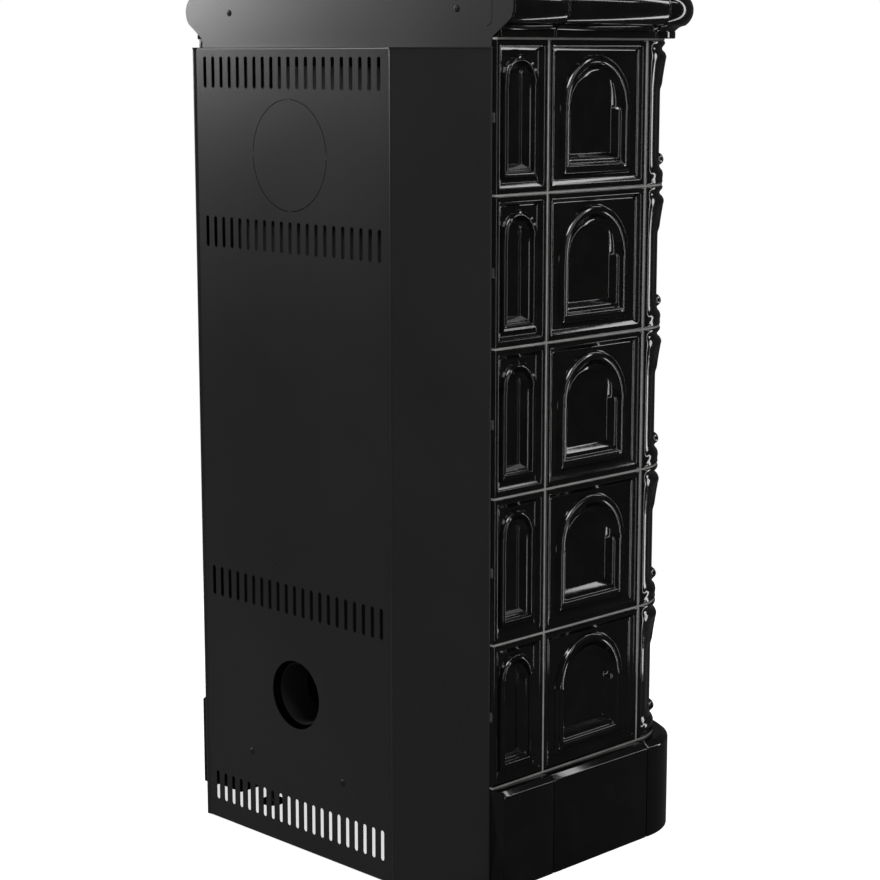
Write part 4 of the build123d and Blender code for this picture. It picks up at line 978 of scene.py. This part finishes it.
def screwShell(place, facing):
    # A domed head on a grid of rings and spokes: height * (1 - 0.75 * (r / R) ** 3.2), less a cross
    # cut at its middle.
    rings = np.concatenate([np.linspace(0.02, 0.6, 14), np.linspace(0.66, 1, 8)]) * screwHead["radius"]
    spokes = np.linspace(0, 2 * math.pi, 72, endpoint=False)
    r, a = np.meshgrid(rings, spokes, indexing="ij")
    u, v = r * np.cos(a), r * np.sin(a)
    near = np.minimum(np.abs(u), np.abs(v))
    inSlot = smoothStep((screwHead["crossWidth"] - near) / (0.25 * mm) + 0.5)
    cut = inSlot * smoothStep((screwHead["cross"] - r) / (0.4 * mm))
    dome = 1 - (r / screwHead["radius"]) ** 3.2 * 0.75
    rise = screwHead["height"] * dome - cut * screwHead["crossDepth"]
    skirt = np.zeros((1, len(spokes)))
    u = np.concatenate([u, u[-1:]])
    v = np.concatenate([v, v[-1:]])
    rise = np.concatenate([rise, skirt])
    facing = np.asarray(facing, float)
    sideways = np.array([facing[1], -facing[0], 0.0])
    upward = np.array([0.0, 0.0, 1.0])
    points = np.asarray(place) - u[..., None] * sideways
    points = points + v[..., None] * upward + rise[..., None] * facing
    count, around = u.shape
    faces = gridFaces(count, around, closeCols=True)
    points = points.reshape(-1, 3)
    tip = np.asarray(place) + facing * (screwHead["height"] - screwHead["crossDepth"])
    points = np.concatenate([points, [tip, np.asarray(place)]])
    following = (np.arange(around) + 1) % around
    faces = [face[::-1] for face in faces]
    faces += [[count * around, a, int(b)] for a, b in enumerate(following)]
    faces += [[count * around + 1, (count - 1) * around + int(b), (count - 1) * around + a]
              for a, b in enumerate(following)]
    return points, faces


chamferRun = (casing["halfWidth"] + bendReach - backHalf) / casing["chamfer"]
chamferLength = math.hypot(1, chamferRun)
heads = []
for side in (-1, 1):
    heads.append(screwShell((side * casing["screwX"], backY, casing["screwHeight"]), (0, 1, 0)))
    heads.append(screwShell((side * plate["screwX"], plateBack, plate["screwHeight"]), (0, 1, 0)))
    place = (side * (backHalf + casing["sideScrewDepth"] * chamferRun), backY - casing["sideScrewDepth"],
             casing["sideScrewHeight"])
    heads.append(screwShell(place, (side / chamferLength, chamferRun / chamferLength, 0)))
makePiece("screwHeads", joined(heads), "stove", ["casing_screws"], stovePaint, 40)
print("screws done")

rope = {"width": 12 * mm, "radius": 5.7 * mm, "corner": 20 * mm, "strand": 14 * mm, "relief": 0.55 * mm,
        "stations": 860, "around": 20}


def ropeShell():
    # A round rope on a rounded rectangle, its radius R - relief * |sin(k s + t) sin(k s - t)| for the
    # braid.
    low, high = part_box("door_rope_seal")
    middleX, middleZ = (low.x + high.x) / 2, (low.z + high.z) / 2
    halfX, halfZ = (high.x - low.x - rope["width"]) / 2, (high.z - low.z - rope["width"]) / 2
    radius = rope["corner"]
    runs = [2 * (halfX - radius), math.pi / 2 * radius, 2 * (halfZ - radius), math.pi / 2 * radius] * 2
    total = sum(runs)
    s = np.linspace(0, total, rope["stations"], endpoint=False)
    edges = np.concatenate([[0], np.cumsum(runs)])
    index = np.searchsorted(edges, s, side="right") - 1
    local = s - edges[index]
    turnStart = np.array([0, 0, 90, 90, 180, 180, 270, 270])[index]
    onArc = index % 2 == 1
    heading = np.radians(turnStart + np.where(onArc, local / radius * 180 / math.pi, 0.0))
    cornerX = np.array([1, 1, 1, 1, -1, -1, -1, -1])[index] * (halfX - radius)
    cornerZ = np.array([-1, -1, 1, 1, 1, 1, -1, -1])[index] * (halfZ - radius)
    startX = np.array([-1, 0, 1, 0, 1, 0, -1, 0])[index] * (halfX - radius)
    startZ = np.array([-1, 0, -1, 0, 1, 0, 1, 0])[index] * (halfZ - radius)
    outX, outZ = np.sin(heading), -np.cos(heading)
    x = np.where(onArc, cornerX + radius * outX, startX + local * np.cos(heading) + radius * outX)
    z = np.where(onArc, cornerZ + radius * outZ, startZ + local * np.sin(heading) + radius * outZ)
    around = np.linspace(0, 2 * math.pi, rope["around"], endpoint=False)
    turns = round(total / rope["strand"])
    twist = 2 * math.pi * s / rope["strand"] * (turns * rope["strand"] / total)
    weave = np.abs(np.sin(twist[:, None] / 2 + 2 * around) * np.sin(twist[:, None] / 2 - 2 * around))
    r = rope["radius"] - rope["relief"] * (1 - weave)
    depth = (low.y + high.y) / 2
    xs = middleX + x[:, None] + outX[:, None] * r * np.cos(around)
    zs = middleZ + z[:, None] + outZ[:, None] * r * np.cos(around)
    ys = depth + r * np.sin(around)
    faces = gridFaces(len(s), len(around), closeCols=True, closeRows=True)
    return np.stack([xs, ys, zs], axis=-1).reshape(-1, 3), faces


makePiece("doorRope", ropeShell(), "fire_door", ["door_rope_seal"], finishes["seal_rope"], 60)
print("rope done")

scene = bpy.context.scene
scene.view_settings.view_transform = "Standard"
view = {"place": (-2.4547, 2.4021, 1.2356), "turn": 45.17, "tilt": 10.17, "lens": 88.235, "sensor": 36}
camera = bpy.data.objects.new("camera", bpy.data.cameras.new("camera"))
scene.collection.objects.link(camera)
scene.camera = camera
turn, tilt = math.radians(view["turn"]), math.radians(view["tilt"])
camera.data.lens = view["lens"]
camera.data.sensor_width = view["sensor"]
camera.location = view["place"]
looking = Vector((math.sin(turn) * math.cos(tilt), -math.cos(turn) * math.cos(tilt), -math.sin(tilt)))
camera.rotation_mode = "QUATERNION"
camera.rotation_quaternion = looking.to_track_quat("-Z", "Y")

# Each lamp: its place, what it faces, its size, its radiance and, if only one, the kind of ray it serves
lamps = {
    "keyBox": {"place": (-1.95, 0.95, 2.9), "aim": (-0.3, 0.0, 0.75), "size": (1.0, 1.0), "radiance": 16},
    "backBox": {"place": (2.6, 1.5, 1.9), "aim": (0.1, 0.28, 1.0), "size": (0.7, 1.3), "radiance": 28},
    "broadPanel": {"place": (-3.2, 3.8, 1.2), "aim": (0, 0.1, 0.7), "size": (3.0, 3.0), "radiance": 1.3,
                   "only": "diffuse"},
    "glintStrip": {"place": (-1.36, -0.09, 1.1), "aim": (-0.36, 0.0, 1.1), "size": (0.07, 2.2),
                   "radiance": 9, "only": "glossy"},
    "frontGlint": {"place": (-0.66, -1.0, 1.1), "aim": (-0.36, 0.0, 1.1), "size": (0.09, 2.2),
                   "radiance": 7, "only": "glossy"},
    "rearGlint": {"place": (-1.3, 0.22, 1.1), "aim": (-0.36, 0.0, 1.1), "size": (0.05, 2.2), "radiance": 6,
                  "only": "glossy"},
    "topGlint": {"place": (-1.4, -0.7, 2.3), "aim": (-0.36, -0.7, 1.2), "size": (2.6, 0.1), "radiance": 7,
                 "only": "glossy"},
}
for name, lamp in lamps.items():
    light = bpy.data.lights.new(name, "AREA")
    light.shape = "RECTANGLE"
    light.size, light.size_y = lamp["size"]
    light.energy = lamp["radiance"] * lamp["size"][0] * lamp["size"][1] * math.pi
    holder = bpy.data.objects.new(name, light)
    holder.location = lamp["place"]
    aim = Vector(lamp["aim"]) - Vector(lamp["place"])
    holder.rotation_euler = aim.to_track_quat("-Z", "Y").to_euler()
    holder.visible_camera = False
    holder.visible_diffuse = lamp.get("only") != "glossy"
    holder.visible_glossy = lamp.get("only") != "diffuse"
    scene.collection.objects.link(holder)


studio = {
    "floorRadius": 1.7, "floorDrop": 0.4 * mm, "floorSides": 96, "floorShade": 0.8, "floorGlossy": 0.1,
    "floorGlow": 0.72,
    "world": 0.28, "worldGlossy": 0.05, "worldSeen": 1.0,
}


def floorFinish():
    # A pale floor that looks white to the camera where it lies open, and keeps the soft shadow. In
    # reflections it is dimmer, because the glaze in the photo mirrors a dark room.
    finish = Finish("paleFloor")
    ray = finish.node("ShaderNodeLightPath", output="Is Camera Ray")
    through = finish.node("ShaderNodeLightPath", output="Is Transmission Ray")
    glossy = finish.node("ShaderNodeLightPath", output="Is Glossy Ray")
    shade = finish.blend(glossy, color(studio["floorShade"]), color(studio["floorGlossy"]))
    finish.surface(Base_Color=shade, Roughness=0.9, Specular_IOR_Level=0.0)
    glow = finish.node("ShaderNodeEmission", None, {"Strength": (ray + through) * studio["floorGlow"]})
    both = finish.node("ShaderNodeAddShader", None, {0: Wire(finish, finish.shader.outputs[0]), 1: glow})
    finish.tree.links.new(both.socket, finish.tree.nodes["Material Output"].inputs["Surface"])
    return finish.material


rim = circleLoop(0.0, 0.0, studio["floorRadius"], studio["floorSides"])
floorMesh = bpy.data.meshes.new("floor")
floorMesh.from_pydata([(x, y, -studio["floorDrop"]) for x, y in rim.tolist()], [], [list(range(len(rim)))])
floor = bpy.data.objects.new("floor", floorMesh)
scene.collection.objects.link(floor)
floorMesh.materials.append(floorFinish())
floor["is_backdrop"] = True

scene.world = bpy.data.worlds.new("studio")
sky = Finish("studio", scene.world)
camRay, glassRay, glossyRay = (sky.node("ShaderNodeLightPath", output=kind)
                               for kind in ("Is Camera Ray", "Is Transmission Ray", "Is Glossy Ray"))
strength = (studio["world"] - (studio["world"] - studio["worldGlossy"]) * glossyRay
            + (studio["worldSeen"] - studio["world"]) * (camRay + glassRay))
sky.surface(Strength=strength, Color=color(1.0))
print("light and camera done")

low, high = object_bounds()
